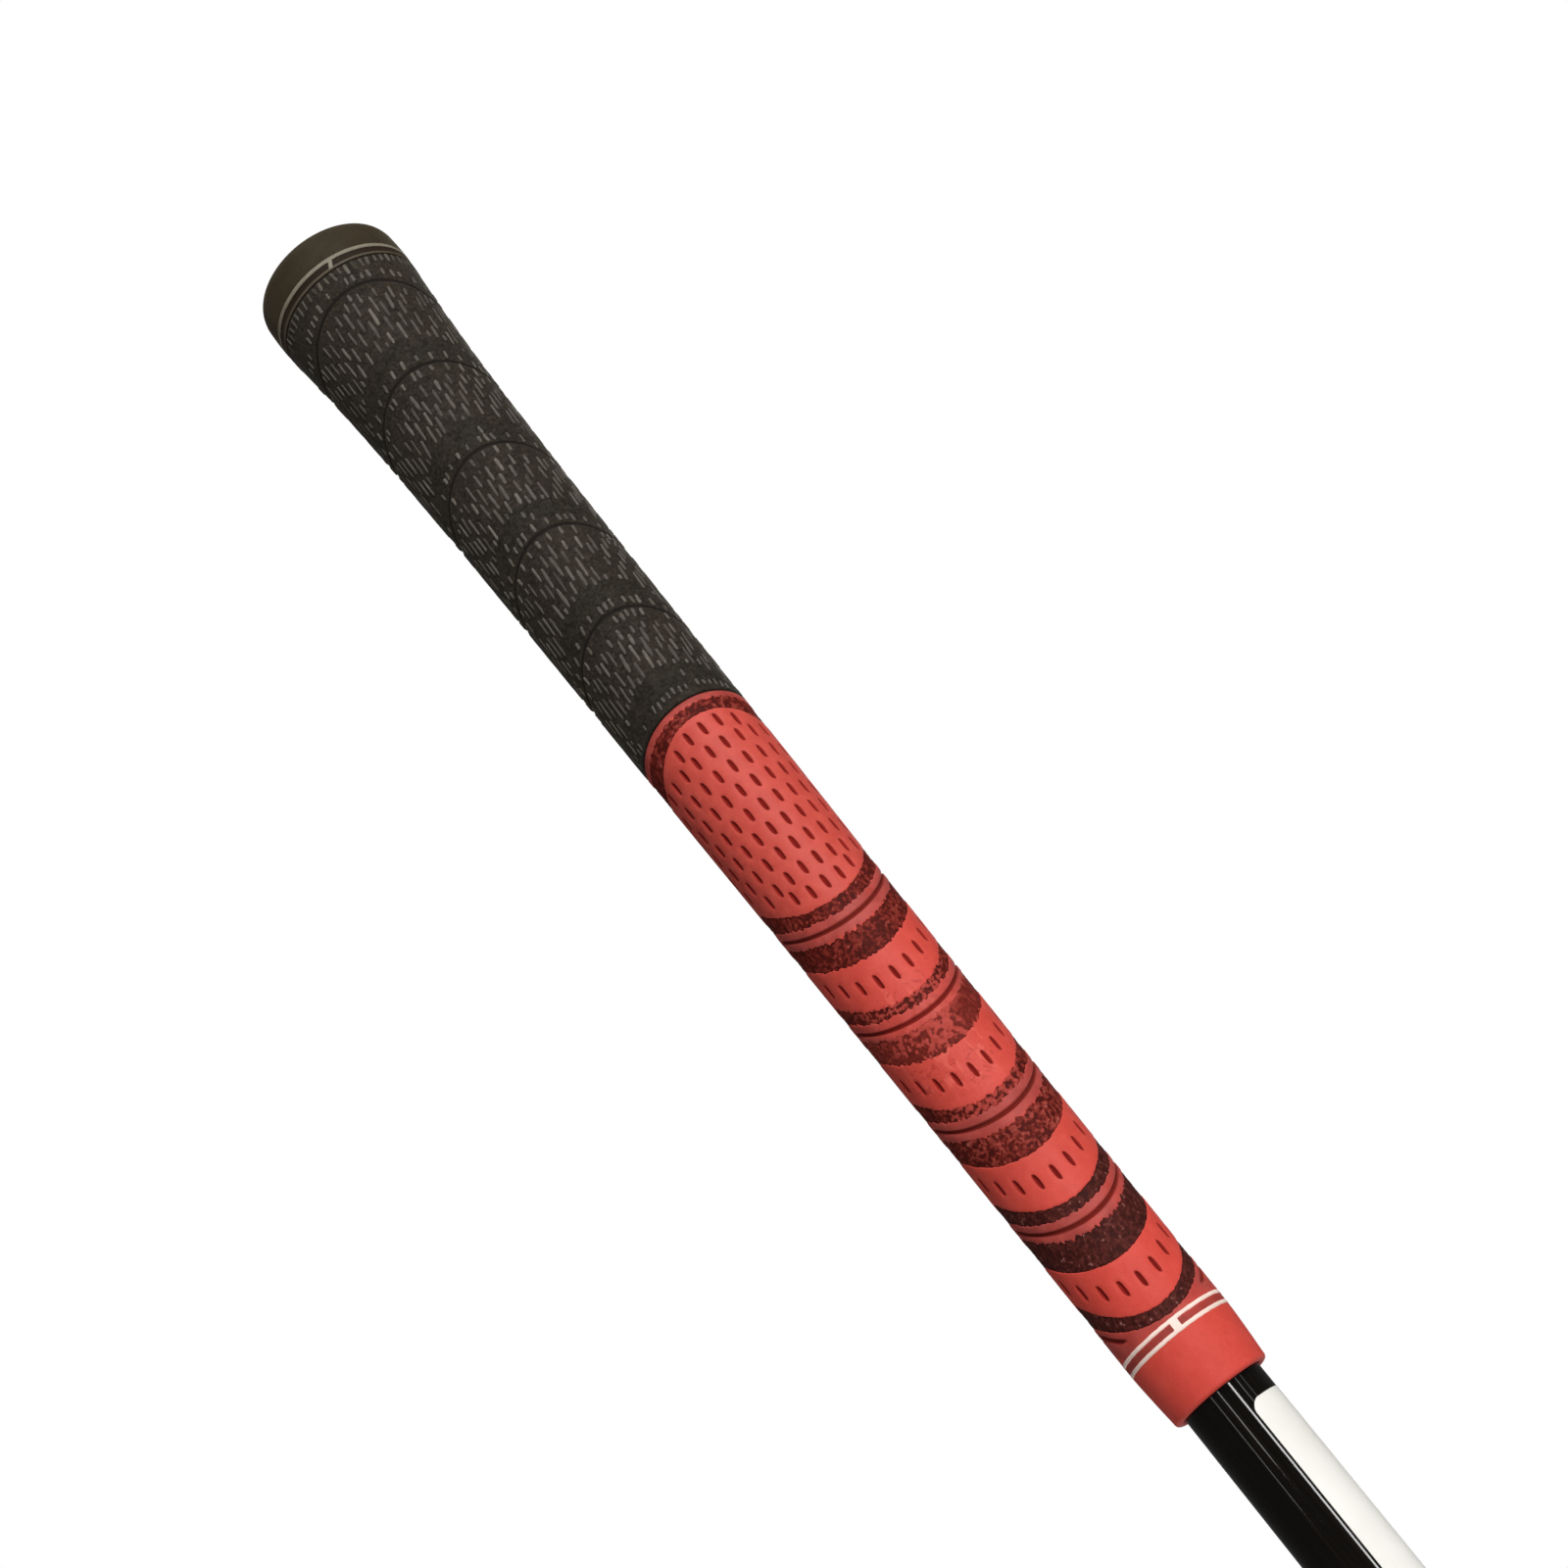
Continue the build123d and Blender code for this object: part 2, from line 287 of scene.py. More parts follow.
class Skin:
    """A sheet on the unrolled surface: points with a depth, joined by fixed lines."""

    def __init__(self, n=240):
        self.n = n
        self.s, self.z, self.d, self.e = [], [], [], []
        self.tag = []
        self.seam = set()
        self.rows = []

    def add(self, s, z, d, chain=True, closed=False, tag=0):
        base = sum(len(x) for x in self.s)
        s = np.asarray(s, float)
        self.s.append(s)
        self.z.append(np.broadcast_to(np.asarray(z, float), s.shape))
        self.d.append(np.broadcast_to(np.asarray(d, float), s.shape))
        self.tag.append(np.full(s.shape, tag))
        if chain:
            self.e += [(base + i, base + i + 1) for i in range(len(s) - 1)]
            if closed:
                self.e.append((base + len(s) - 1, base))
        return base

    def line(self, zfun, depth, tag=0, n=None):
        """A line right round the grip; zfun gives its height for each angle."""
        n = n or self.n
        psi = np.linspace(-np.pi, np.pi, n + 1)
        z = np.asarray(zfun(psi), float)
        z[-1] = z[0]
        base = self.add(psi * RM, z, depth, tag=tag)
        self.rows.append((float(z[0]), base, base + n))
        return base

    def seal_seam(self, pitch):
        """Same points down both sides of the seam at the back."""
        rows = sorted(self.rows)
        for side in (0, 1):
            x = -TURN / 2 if side == 0 else TURN / 2
            last = rows[0][1 + side]
            pairs = []
            for (z0, l0, r0), (z1, l1, r1) in zip(rows, rows[1:]):
                k = max(0, int(round((z1 - z0) / pitch)) - 1)
                zs = z0 + (z1 - z0) * np.arange(1, k + 1) / (k + 1)
                prev = (l0, r0)[side]
                if k:
                    b = self.add(np.full(k, x), zs, np.nan)
                    self.e.append((prev, b))
                    prev = b + k - 1
                self.e.append((prev, (l1, r1)[side]))

    def solve(self, depth_of):
        s, z, d, tag = (np.concatenate(v) for v in (self.s, self.z, self.d, self.tag))
        free = np.isnan(d)
        out = delaunay_2d_cdt([Vector((float(a), float(b))) for a, b in zip(s, z)], self.e, [], 1, 1e-5, True)
        verts, faces, orig = out[0], out[2], out[3]
        co = np.array([(v[0], v[1]) for v in verts])
        src = np.array([o[0] if len(o) else -1 for o in orig])
        depth = np.where(src >= 0, d[src], np.nan)
        tags = np.where(src >= 0, tag[src], 0)
        lost = np.isnan(depth)
        depth[lost] = depth_of(co[lost, 0], co[lost, 1])
        # weld the seam
        left = np.where(np.abs(co[:, 0] + TURN / 2) < 1e-3)[0]
        right = np.where(np.abs(co[:, 0] - TURN / 2) < 1e-3)[0]
        left, right = left[np.argsort(co[left, 1])], right[np.argsort(co[right, 1])]
        if len(left) != len(right):
            raise RuntimeError("the seam's two sides differ")
        to = np.arange(len(co))
        to[right] = left
        used = np.ones(len(co), bool)
        used[right] = False
        new = np.cumsum(used) - 1
        to = new[to]
        back = {}
        for k, o in enumerate(orig):
            for q in o:
                back[q] = to[k]
        tri = [tuple(int(to[i]) for i in f) for f in faces]
        tri = [f for f in tri if len(set(f)) == 3]
        # the lowest and the highest line bound the sheet: nothing is filled beyond them
        for _, first, last in (min(self.rows), max(self.rows)):
            rim = {back[q] for q in range(first, last + 1)}
            tri = [f for f in tri if not rim.issuperset(f)]
        return co[used], depth[used], tags[used], tri, back


def lattice(z0, z1, pitch, seed):
    """Hexagonal lattice with a little unevenness, clear of the seam."""
    rows = []
    nz = int((z1 - z0) / (pitch * 0.866))
    ns = int(TURN / pitch)
    for j in range(1, nz):
        z = z0 + (z1 - z0) * j / nz
        s = -TURN / 2 + (np.arange(ns) + (0.25 if j % 2 else 0.75)) * TURN / ns
        rows.append(np.stack([s, np.full(ns, z)], -1))
    p = np.concatenate(rows)
    p[:, 0] += 0.08 * pitch * (2 * chance(np.arange(len(p)), 0, seed) - 1)
    p[:, 1] += 0.08 * pitch * (2 * chance(np.arange(len(p)), 1, seed) - 1)
    keep = np.abs(np.abs(p[:, 0]) - TURN / 2) > 0.45 * pitch
    return p[keep]


def thin(points, lines, gap):
    """Drops the points closer than gap to any of the lines (functions of psi)."""
    keep = np.ones(len(points), bool)
    psi = points[:, 0] / RM
    for f in lines:
        z = f(psi)
        slope = (f(psi + 0.01) - f(psi - 0.01)) / (0.02 * RM)
        keep &= np.abs(points[:, 1] - z) / np.sqrt(1 + slope**2) > gap
    return points[keep]


# --- materials -------------------------------------------------------------------
class Shade:
    def __init__(self, name):
        self.m = bpy.data.materials.new(name)
        self.m.use_nodes = True
        self.nt = self.m.node_tree
        self.nt.nodes.clear()
        self.out = self.nt.nodes.new("ShaderNodeOutputMaterial")
        self.b = self.nt.nodes.new("ShaderNodeBsdfPrincipled")
        self.nt.links.new(self.b.outputs[0], self.out.inputs[0])
        self.co = self.nt.nodes.new("ShaderNodeTexCoord").outputs["Object"]

    def put(self, socket, value):
        if isinstance(value, bpy.types.NodeSocket):
            self.nt.links.new(value, socket)
        elif isinstance(value, tuple) and len(value) == 3 and socket.type == "RGBA":
            socket.default_value = (*value, 1.0)
        else:
            socket.default_value = value

    def set(self, **kw):
        for k, v in kw.items():
            self.put(self.b.inputs[k.replace("_", " ")], v)

    def attr(self, name):
        n = self.nt.nodes.new("ShaderNodeAttribute")
        n.attribute_name = name
        return n.outputs["Fac"]

    def stretch(self, xyz):
        n = self.nt.nodes.new("ShaderNodeMapping")
        self.put(n.inputs["Vector"], self.co)
        n.inputs["Scale"].default_value = xyz
        return n.outputs[0]

    def noise(self, scale, detail=2.0, rough=0.5, vec=None, distort=0.0):
        n = self.nt.nodes.new("ShaderNodeTexNoise")
        self.put(n.inputs["Vector"], vec or self.co)
        n.inputs["Scale"].default_value = scale
        n.inputs["Detail"].default_value = detail
        n.inputs["Roughness"].default_value = rough
        n.inputs["Distortion"].default_value = distort
        return n.outputs["Fac"]

    def cells(self, scale, vec=None, feature="F1", out="Distance", rand=1.0):
        n = self.nt.nodes.new("ShaderNodeTexVoronoi")
        n.feature = feature
        self.put(n.inputs["Vector"], vec or self.co)
        n.inputs["Scale"].default_value = scale
        n.inputs["Randomness"].default_value = rand
        return n.outputs[out]

    def ramp(self, fac, stops, mode="LINEAR"):
        n = self.nt.nodes.new("ShaderNodeValToRGB")
        n.color_ramp.interpolation = mode
        self.put(n.inputs["Fac"], fac)
        el = n.color_ramp.elements
        while len(el) < len(stops):
            el.new(0.5)
        for e, (p, c) in zip(el, stops):
            e.position = p
            e.color = (*c, 1.0) if isinstance(c, tuple) else (c, c, c, 1.0)
        return n.outputs["Color"]

    def mix(self, fac, a, b, mode="MIX"):
        n = self.nt.nodes.new("ShaderNodeMix")
        n.data_type, n.blend_type = "RGBA", mode
        self.put(n.inputs["Factor"], fac)
        self.put(n.inputs[6], a)
        self.put(n.inputs[7], b)
        return n.outputs[2]

    def math(self, op, a, b=0.0, c=None, clamp=False):
        n = self.nt.nodes.new("ShaderNodeMath")
        n.operation, n.use_clamp = op, clamp
        self.put(n.inputs[0], a)
        self.put(n.inputs[1], b)
        if c is not None:
            self.put(n.inputs[2], c)
        return n.outputs[0]

    def span(self, x, a, b, to0=0.0, to1=1.0):
        n = self.nt.nodes.new("ShaderNodeMapRange")
        n.interpolation_type = "SMOOTHSTEP"
        self.put(n.inputs["Value"], x)
        for k, v in (("From Min", a), ("From Max", b), ("To Min", to0), ("To Max", to1)):
            n.inputs[k].default_value = v
        return n.outputs[0]

    def bump(self, height, strength, distance, under=None):
        n = self.nt.nodes.new("ShaderNodeBump")
        n.inputs["Strength"].default_value = strength
        n.inputs["Distance"].default_value = distance
        self.put(n.inputs["Height"], height)
        if under is not None:
            self.put(n.inputs["Normal"], under)
        return n.outputs[0]


def srgb(r, g, b, k=1.0):
    return tuple(k * ((c / 255 / 12.92) if c <= 10 else ((c / 255 + 0.055) / 1.055) ** 2.4) for c in (r, g, b))


def red_rubber():
    """Satin red rubber: moulded grain, blotches, rubbed streaks; dull in the rims; painted shade as a dark red in the
    grooves and slots, the same red also for the dark joint line.
    """
    m = Shade("red_rubber_worn")
    broad, mid, fine = m.noise(90, 3), m.noise(420, 3, 0.55), m.noise(2300, 3, 0.6)
    red = m.mix(m.span(broad, 0.3, 0.7), srgb(210, 71, 59, 0.79), srgb(215, 75, 63, 0.81))
    red = m.mix(m.math("MULTIPLY", m.span(mid, 0.42, 0.78), 0.35), red, srgb(224, 86, 75, 0.82))
    red = m.mix(m.math("MULTIPLY", m.span(fine, 0.30, 0.72), 0.14), red, srgb(180, 50, 43, 0.8))
    # darker red higher up the grip
    red = m.mix(m.attr("darker_up_grip"), red, m.mix(m.span(mid, 0.35, 0.70), srgb(176, 65, 55), srgb(184, 72, 61)))
    streak = m.noise(300, 6, 0.62, vec=m.stretch((1.0, 1.0, 0.35)), distort=1.6)
    scuff = m.math("MULTIPLY", m.attr("scuff"), m.span(streak, 0.54, 0.60))
    red = m.mix(m.math("MULTIPLY", scuff, 0.40), red, srgb(226, 106, 92, 0.86))
    smear = m.math("MULTIPLY", m.attr("scuff"), m.span(m.noise(420, 5, 0.6, distort=2.2), 0.55, 0.62))
    red = m.mix(m.math("MULTIPLY", smear, 0.55), red, srgb(164, 46, 38, 0.8))
    dull = m.mix(m.span(mid, 0.3, 0.75), srgb(158, 62, 56, 0.78), srgb(174, 76, 70, 0.80))
    red = m.mix(m.attr("dull"), red, dull)
    # painted shade: dark red put where shade falls in the grooves and slots (the cut mask); it also draws the dark
    # joint line
    shade_red_in_cuts = m.mix(m.span(mid, 0.35, 0.7), srgb(118, 17, 11, 0.85), srgb(134, 24, 17, 0.85))
    shade_red_in_cuts = m.mix(m.math("MULTIPLY", m.attr("dull"), 0.85), shade_red_in_cuts, srgb(104, 30, 21, 0.80))
    red = m.mix(m.attr("cut"), red, shade_red_in_cuts)
    m.set(Base_Color=red)
    sheen = m.span(m.math("ADD", m.math("MULTIPLY", mid, 0.6), m.math("MULTIPLY", fine, 0.4)), 0.2, 0.8, 0.50, 0.64)
    m.set(Roughness=m.math("ADD", sheen, m.math("MULTIPLY", m.attr("cut"), 0.4), clamp=True))
    m.b.inputs["IOR"].default_value = 1.40
    m.b.inputs["Specular IOR Level"].default_value = 0.28
    h = m.bump(fine, 0.16, 0.00008)
    h = m.bump(m.noise(900, 2, 0.5), 0.10, 0.00018, h)
    m.set(Normal=h)
    return m.m


def band_rubber(name, hues):
    """Rough dark-maroon fill: dusty crests over dark crevices, red where it has rubbed through."""
    m = Shade(name)
    tone, worn = m.attr("tone"), m.attr("worn")
    fine = m.noise(3800, 3, 0.6)
    mid = m.noise(1300, 3, 0.6)
    t = m.math("ADD", tone, m.math("MULTIPLY", m.math("SUBTRACT", fine, 0.5), 0.34), clamp=True)
    col = m.ramp(t, [(p, srgb(*c, 0.8)) for p, c in zip((0.0, 0.30, 0.55, 0.78, 1.0), hues)])
    col = m.mix(m.math("MULTIPLY", m.span(mid, 0.54, 0.72), 0.22), col, srgb(*hues[2], 0.8))
    rubbed = m.mix(m.span(mid, 0.35, 0.7), srgb(164, 60, 51, 0.8), srgb(184, 75, 66, 0.8))
    col = m.mix(worn, col, rubbed)
    m.set(Base_Color=col)
    m.set(Roughness=m.span(fine, 0.2, 0.8, 0.58, 0.80))
    m.b.inputs["IOR"].default_value = 1.40
    m.b.inputs["Specular IOR Level"].default_value = 0.14
    m.set(Normal=m.bump(fine, 0.35, 0.00012))
    return m.m


def black_rubber():
    """Dull black rubber, greenish and browner patches, coarser and darker in the rough zones."""
    m = Shade("black_rubber_buffed")
    broad, mid, fine = m.noise(120, 3, 0.6), m.noise(620, 4, 0.6), m.noise(2600, 3, 0.6)
    grit = m.noise(1500, 3, 0.65)
    col = m.mix(m.span(broad, 0.35, 0.65), srgb(36, 31, 24, 0.80), srgb(43, 37, 29, 0.80))
    col = m.mix(m.math("MULTIPLY", m.span(grit, 0.50, 0.66), 0.75), col, srgb(60, 53, 45, 0.80))
    col = m.mix(m.math("MULTIPLY", m.span(grit, 0.46, 0.34), 0.75), col, srgb(19, 16, 12, 0.78))
    brown = m.mix(m.span(mid, 0.42, 0.58), srgb(50, 44, 34, 0.80), srgb(51, 43, 38, 0.80))
    col = m.mix(m.math("MULTIPLY", m.span(m.noise(260, 3, 0.6), 0.52, 0.66), 0.45), col, brown)
    olive = m.mix(m.span(grit, 0.38, 0.62), srgb(26, 23, 17, 0.78), srgb(43, 41, 32, 0.78))
    col = m.mix(m.math("MULTIPLY", m.attr("rough"), m.span(m.noise(330, 3, 0.6), 0.36, 0.60, 0.0, 0.9)), col, olive)
    # painted shade: darker colour in the cord grooves; the same colour draws the dark joint lines at the red rubber and
    # under the cap
    col = m.mix(m.attr("cut"), col, srgb(24, 20, 16, 0.8))
    m.set(Base_Color=col)
    m.set(Roughness=m.span(mid, 0.25, 0.75, 0.62, 0.84))
    m.b.inputs["IOR"].default_value = 1.36
    m.b.inputs["Specular IOR Level"].default_value = 0.16
    m.b.inputs["Sheen Weight"].default_value = 0.08
    m.b.inputs["Sheen Tint"].default_value = (0.86, 0.78, 0.66, 1.0)
    m.b.inputs["Sheen Roughness"].default_value = 0.45
    h = m.bump(fine, 0.30, 0.00010)
    m.set(Normal=m.bump(mid, 0.22, 0.00025, h))
    return m.m


def cotton():
    """Buffed ends of the cotton cord: dirty grey strands with a lengthwise lie."""
    m = Shade("cotton_cord")
    strand = m.noise(3000, 3, 0.6, vec=m.stretch((1.0, 1.0, 0.16)))
    fine = m.noise(5200, 2, 0.6)
    t = m.math("ADD", m.attr("tone"), m.math("MULTIPLY", m.math("SUBTRACT", strand, 0.5), 0.6), clamp=True)
    col = m.ramp(t, [(0.0, srgb(54, 50, 44, 0.88)), (0.35, srgb(73, 68, 62, 0.88)), (0.7, srgb(90, 85, 78, 0.88)), (1.0, srgb(108, 102, 94, 0.88))])
    col = m.mix(m.math("MULTIPLY", m.attr("tint"), 0.6), col, srgb(66, 66, 51, 0.86))
    col = m.mix(m.math("MULTIPLY", m.span(fine, 0.56, 0.76), 0.30), col, srgb(52, 46, 39))
    m.set(Base_Color=col)
    m.set(Roughness=m.span(fine, 0.2, 0.8, 0.8, 0.95))
    m.b.inputs["Specular IOR Level"].default_value = 0.12
    m.set(Normal=m.bump(strand, 0.4, 0.00010))
    return m.m


def cap_rubber():
    """Smooth olive-black cap rubber with a soft sheen and handling marks."""
    m = Shade("cap_rubber")
    broad, mid, fine = m.noise(160, 3, 0.6), m.noise(520, 4, 0.6), m.noise(3000, 2, 0.5)
    col = m.mix(m.span(broad, 0.35, 0.65), srgb(46, 38, 25, 0.86), srgb(51, 43, 29, 0.86))
    col = m.mix(m.math("MULTIPLY", m.span(mid, 0.48, 0.72), 0.5), col, srgb(50, 41, 29, 0.8))
    col = m.mix(m.math("MULTIPLY", m.span(mid, 0.44, 0.28), 0.5), col, srgb(31, 25, 16, 0.8))
    col = m.mix(m.attr("foot"), col, srgb(36, 25, 16, 0.8))
    m.set(Base_Color=col)
    m.set(Roughness=m.span(mid, 0.25, 0.75, 0.58, 0.74))
    m.b.inputs["IOR"].default_value = 1.36
    m.b.inputs["Specular IOR Level"].default_value = 0.16
    m.b.inputs["Sheen Weight"].default_value = 0.09
    m.b.inputs["Sheen Tint"].default_value = (0.80, 0.66, 0.46, 1.0)
    m.b.inputs["Sheen Roughness"].default_value = 0.45
    m.set(Normal=m.bump(fine, 0.12, 0.00006))
    return m.m


def ring_paint(name, light, dark, wear, second=None):
    """Paint filled into a moulded line, thin and chipped in places."""
    m = Shade(name)
    broad, fine = m.noise(240, 4, 0.6), m.noise(2400, 4, 0.65)
    col = m.mix(m.span(broad, 0.3, 0.7), light, tuple(0.86 * c for c in light))
    if second:
        col = m.mix(m.attr("lower"), col, second)
    col = m.mix(m.math("MULTIPLY", m.span(fine, 0.64 - wear, 0.76 - wear), 0.75), col, dark)
    m.set(Base_Color=col)
    m.set(Roughness=m.span(fine, 0.2, 0.8, 0.45, 0.7))
    m.b.inputs["Specular IOR Level"].default_value = 0.3
    m.set(Normal=m.bump(fine, 0.2, 0.00006))
    return m.m


def shaft_gloss():
    """Gloss black lacquer with faint dust and hairlines along the shaft."""
    m = Shade("shaft_lacquer")
    hair = m.noise(1600, 3, 0.6, vec=m.stretch((1.0, 1.0, 0.02)))
    dust = m.noise(2600, 3, 0.6)
    col = m.mix(m.span(hair, 0.45, 0.7), srgb(9, 7, 5), srgb(16, 12, 9))
    m.set(Base_Color=col)
    m.set(Roughness=m.span(dust, 0.35, 0.75, 0.045, 0.085))
    m.b.inputs["IOR"].default_value = 1.42
    m.b.inputs["Specular IOR Level"].default_value = 0.42
    m.set(Normal=m.bump(m.noise(260, 2, 0.5), 0.02, 0.0002))
    return m.m


def label_film():
    """Off-white printed vinyl film."""
    m = Shade("label_film")
    broad, fine = m.noise(60, 3, 0.5), m.noise(3500, 2, 0.5)
    col = m.mix(m.span(broad, 0.3, 0.7), srgb(232, 230, 223, 0.84), srgb(240, 238, 232, 0.84))
    col = m.mix(m.math("MULTIPLY", m.span(fine, 0.6, 0.75), 0.15), col, srgb(214, 212, 204, 0.82))
    col = m.mix(m.attr("edge"), col, srgb(96, 92, 86))
    m.set(Base_Color=col)
    m.set(Roughness=m.span(fine, 0.2, 0.8, 0.38, 0.5))
    m.b.inputs["Specular IOR Level"].default_value = 0.3
    m.set(Normal=m.bump(m.noise(500, 2, 0.5), 0.05, 0.0001))
    return m.m


def tape_paper():
    m = Shade("grip_tape_paper")
    crepe = m.noise(900, 4, 0.6, vec=m.stretch((1.0, 1.0, 4.0)))
    col = m.mix(m.span(crepe, 0.3, 0.7), srgb(196, 178, 140), srgb(222, 206, 170))
    m.set(Base_Color=col)
    m.set(Roughness=m.span(crepe, 0.2, 0.8, 0.75, 0.95))
    m.set(Normal=m.bump(crepe, 0.5, 0.0002))
    return m.m


def core_rubber():
    m = Shade("core_rubber_grey")
    mid, fine = m.noise(300, 3, 0.6), m.noise(2200, 3, 0.6)
    col = m.mix(m.span(mid, 0.3, 0.7), srgb(30, 29, 27), srgb(44, 42, 39))
    m.set(Base_Color=col)
    m.set(Roughness=m.span(fine, 0.2, 0.8, 0.6, 0.85))
    m.set(Normal=m.bump(fine, 0.3, 0.0001))
    return m.m


RED, BLACK, COTTON, CAP = red_rubber(), black_rubber(), cotton(), cap_rubber()
BAND = band_rubber("rough_band_maroon", ((59, 12, 8), (88, 22, 15), (117, 35, 27), (141, 59, 50), (166, 92, 81)))
BAND_DARK = band_rubber("rough_band_dark", ((45, 14, 11), (60, 20, 16), (84, 33, 28), (114, 64, 58), (150, 106, 102)))
WHITE = ring_paint("collar_paint", srgb(246, 219, 207, 0.92), srgb(214, 130, 118), 0.0)
BEIGE = ring_paint("cap_paint", srgb(133, 124, 107, 0.78), srgb(76, 69, 54, 0.78), 0.05, srgb(74, 66, 51, 0.78))
SHAFT, LABEL, TAPE, CORE = shaft_gloss(), label_film(), tape_paper(), core_rubber()

for node, mat in (("grip_tape", TAPE), ("core_sleeve", CORE)):
    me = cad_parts[node].data
    me.materials.clear()
    me.materials.append(mat)

# ---------------------------------------------------------------------------
# bands: front height and sweep of the lower and the upper edge, roughness of
# each edge's outline, how many light grains show, and how much has worn off
# ---------------------------------------------------------------------------
BANDS = [
    (12.8, 7.2, 14.8, 10.1, 0.16, 0.12, 0.14, 0.0),
    (23.9, 8.1, 29.6, 8.3, 0.10, 0.60, 0.16, 0.0),
    (33.35, 7.6, 35.4, 9.6, 0.30, 0.16, 0.20, 0.0),
    (44.6, 8.7, 50.2, 7.9, 0.16, 0.55, 0.60, 0.12),
    (54.2, 7.7, 55.95, 10.2, 0.44, 0.46, 0.50, 0.66),
    (65.8, 8.6, 71.3, 7.8, 0.44, 0.50, 0.50, 1.0),
    (74.8, 8.0, 76.55, 10.0, 0.46, 0.50, 0.58, 0.72),
    (85.85, 8.6, 91.15, 8.1, 0.40, 0.55, 0.44, 0.0),
    (95.2, 7.7, 97.45, 10.0, 0.52, 0.26, 0.44, 0.12),
    (138.6, -7.8, 140.75, -3.8, 0.14, 0.34, 0.52, 0.0),
]


def band_edge(k, upper):
    z, a, amp = (BANDS[k][2], BANDS[k][3], BANDS[k][5]) if upper else (BANDS[k][0], BANDS[k][1], BANDS[k][4])
    seed = 100 + 7 * k + (3 if upper else 0)
    out = 1 if upper else -1

    def f(psi):
        s = np.asarray(psi) * RM
        calm = 0.35 + 0.65 * np.abs(np.cos(psi)) ** 0.7
        jag = 1.15 * lobes(s, 0.80, seed) - 0.50 + 0.40 * swell(s, 0 * s, 0.40, seed + 1)
        return z + a * lean(psi) + out * amp * calm * jag
    return f


def offset(f, by):
    return lambda psi: f(psi) + by


def arc_line(z, a):
    return lambda psi: z + a * lean(psi)


# --- red lower sleeve ------------------------------------------------------------
GROOVES = [(31.5, 7.6), (52.3, 7.6), (72.9, 7.6), (93.3, 7.6)]
JOINT = arc_line(142.1, -3.2)


def slot_centres():
    """Where the small cuts are: unrolled place and height of each."""
    found = []
    for z0, pitch in ((19.4, 19.3), (40.1, 18.5), (60.8, 17.8), (81.3, 17.4)):
        for back in (0, 1):
            for k in range(-5, 6):
                turn = (k + 0.5 * back) * pitch    # no cut on the mould line at the back
                if abs(turn) > 80:
                    continue
                psi = math.radians(turn)
                z = z0 + 9.5 * float(lean(psi))
                found.append(((psi + (math.pi if back else 0)), z))
    for i, z0 in enumerate((135.8, 131.5, 127.0, 122.6, 118.2, 113.9, 109.5, 105.1, 100.8)):
        first = (10.8, 2.7)[i % 2]
        for k in range(22):
            psi = math.radians(first + k * 360 / 22) - PATTERN
            z = z0
            fold = abs((math.degrees(psi) + 90) % 180 - 90)
            if 22 < fold < 48:
                if i == 0:
                    z -= 1.15
                if i == 8:
                    z += 1.2
            top = 138.6 - 7.8 * float(lean(psi)) - 0.45
            low = 97.45 + 10.0 * float(lean(psi)) + 0.45
            if low < z - 1.43 and z + 1.43 < top:
                found.append((psi, z))
    out = []
    for psi, z in found:
        psi = (psi + math.pi) % (2 * math.pi) - math.pi
        s = psi * RM
        if abs(abs(s) - TURN / 2) < 0.95:      # keep clear of the sheet's seam
            s = math.copysign(TURN / 2 - 0.95, s)
        out.append((s, z))
    return out


def slot_ring(s, z, grow, n=18):
    """Outline of one cut: long along the grip, slanted ends."""
    r = float(OUTER(z)) / RM
    a = np.arange(n) * 2 * np.pi / n
    w, l = (0.36 if z < 99 else 0.39) + grow, 1.40 + grow
    x = w * np.sign(np.cos(a)) * np.abs(np.cos(a)) ** 0.66
    y = l * np.sign(np.sin(a)) * np.abs(np.sin(a)) ** 0.80
    y = y - 0.56 * x * np.abs(np.sin(a)) ** 0.5
    return s + x / r, z + y


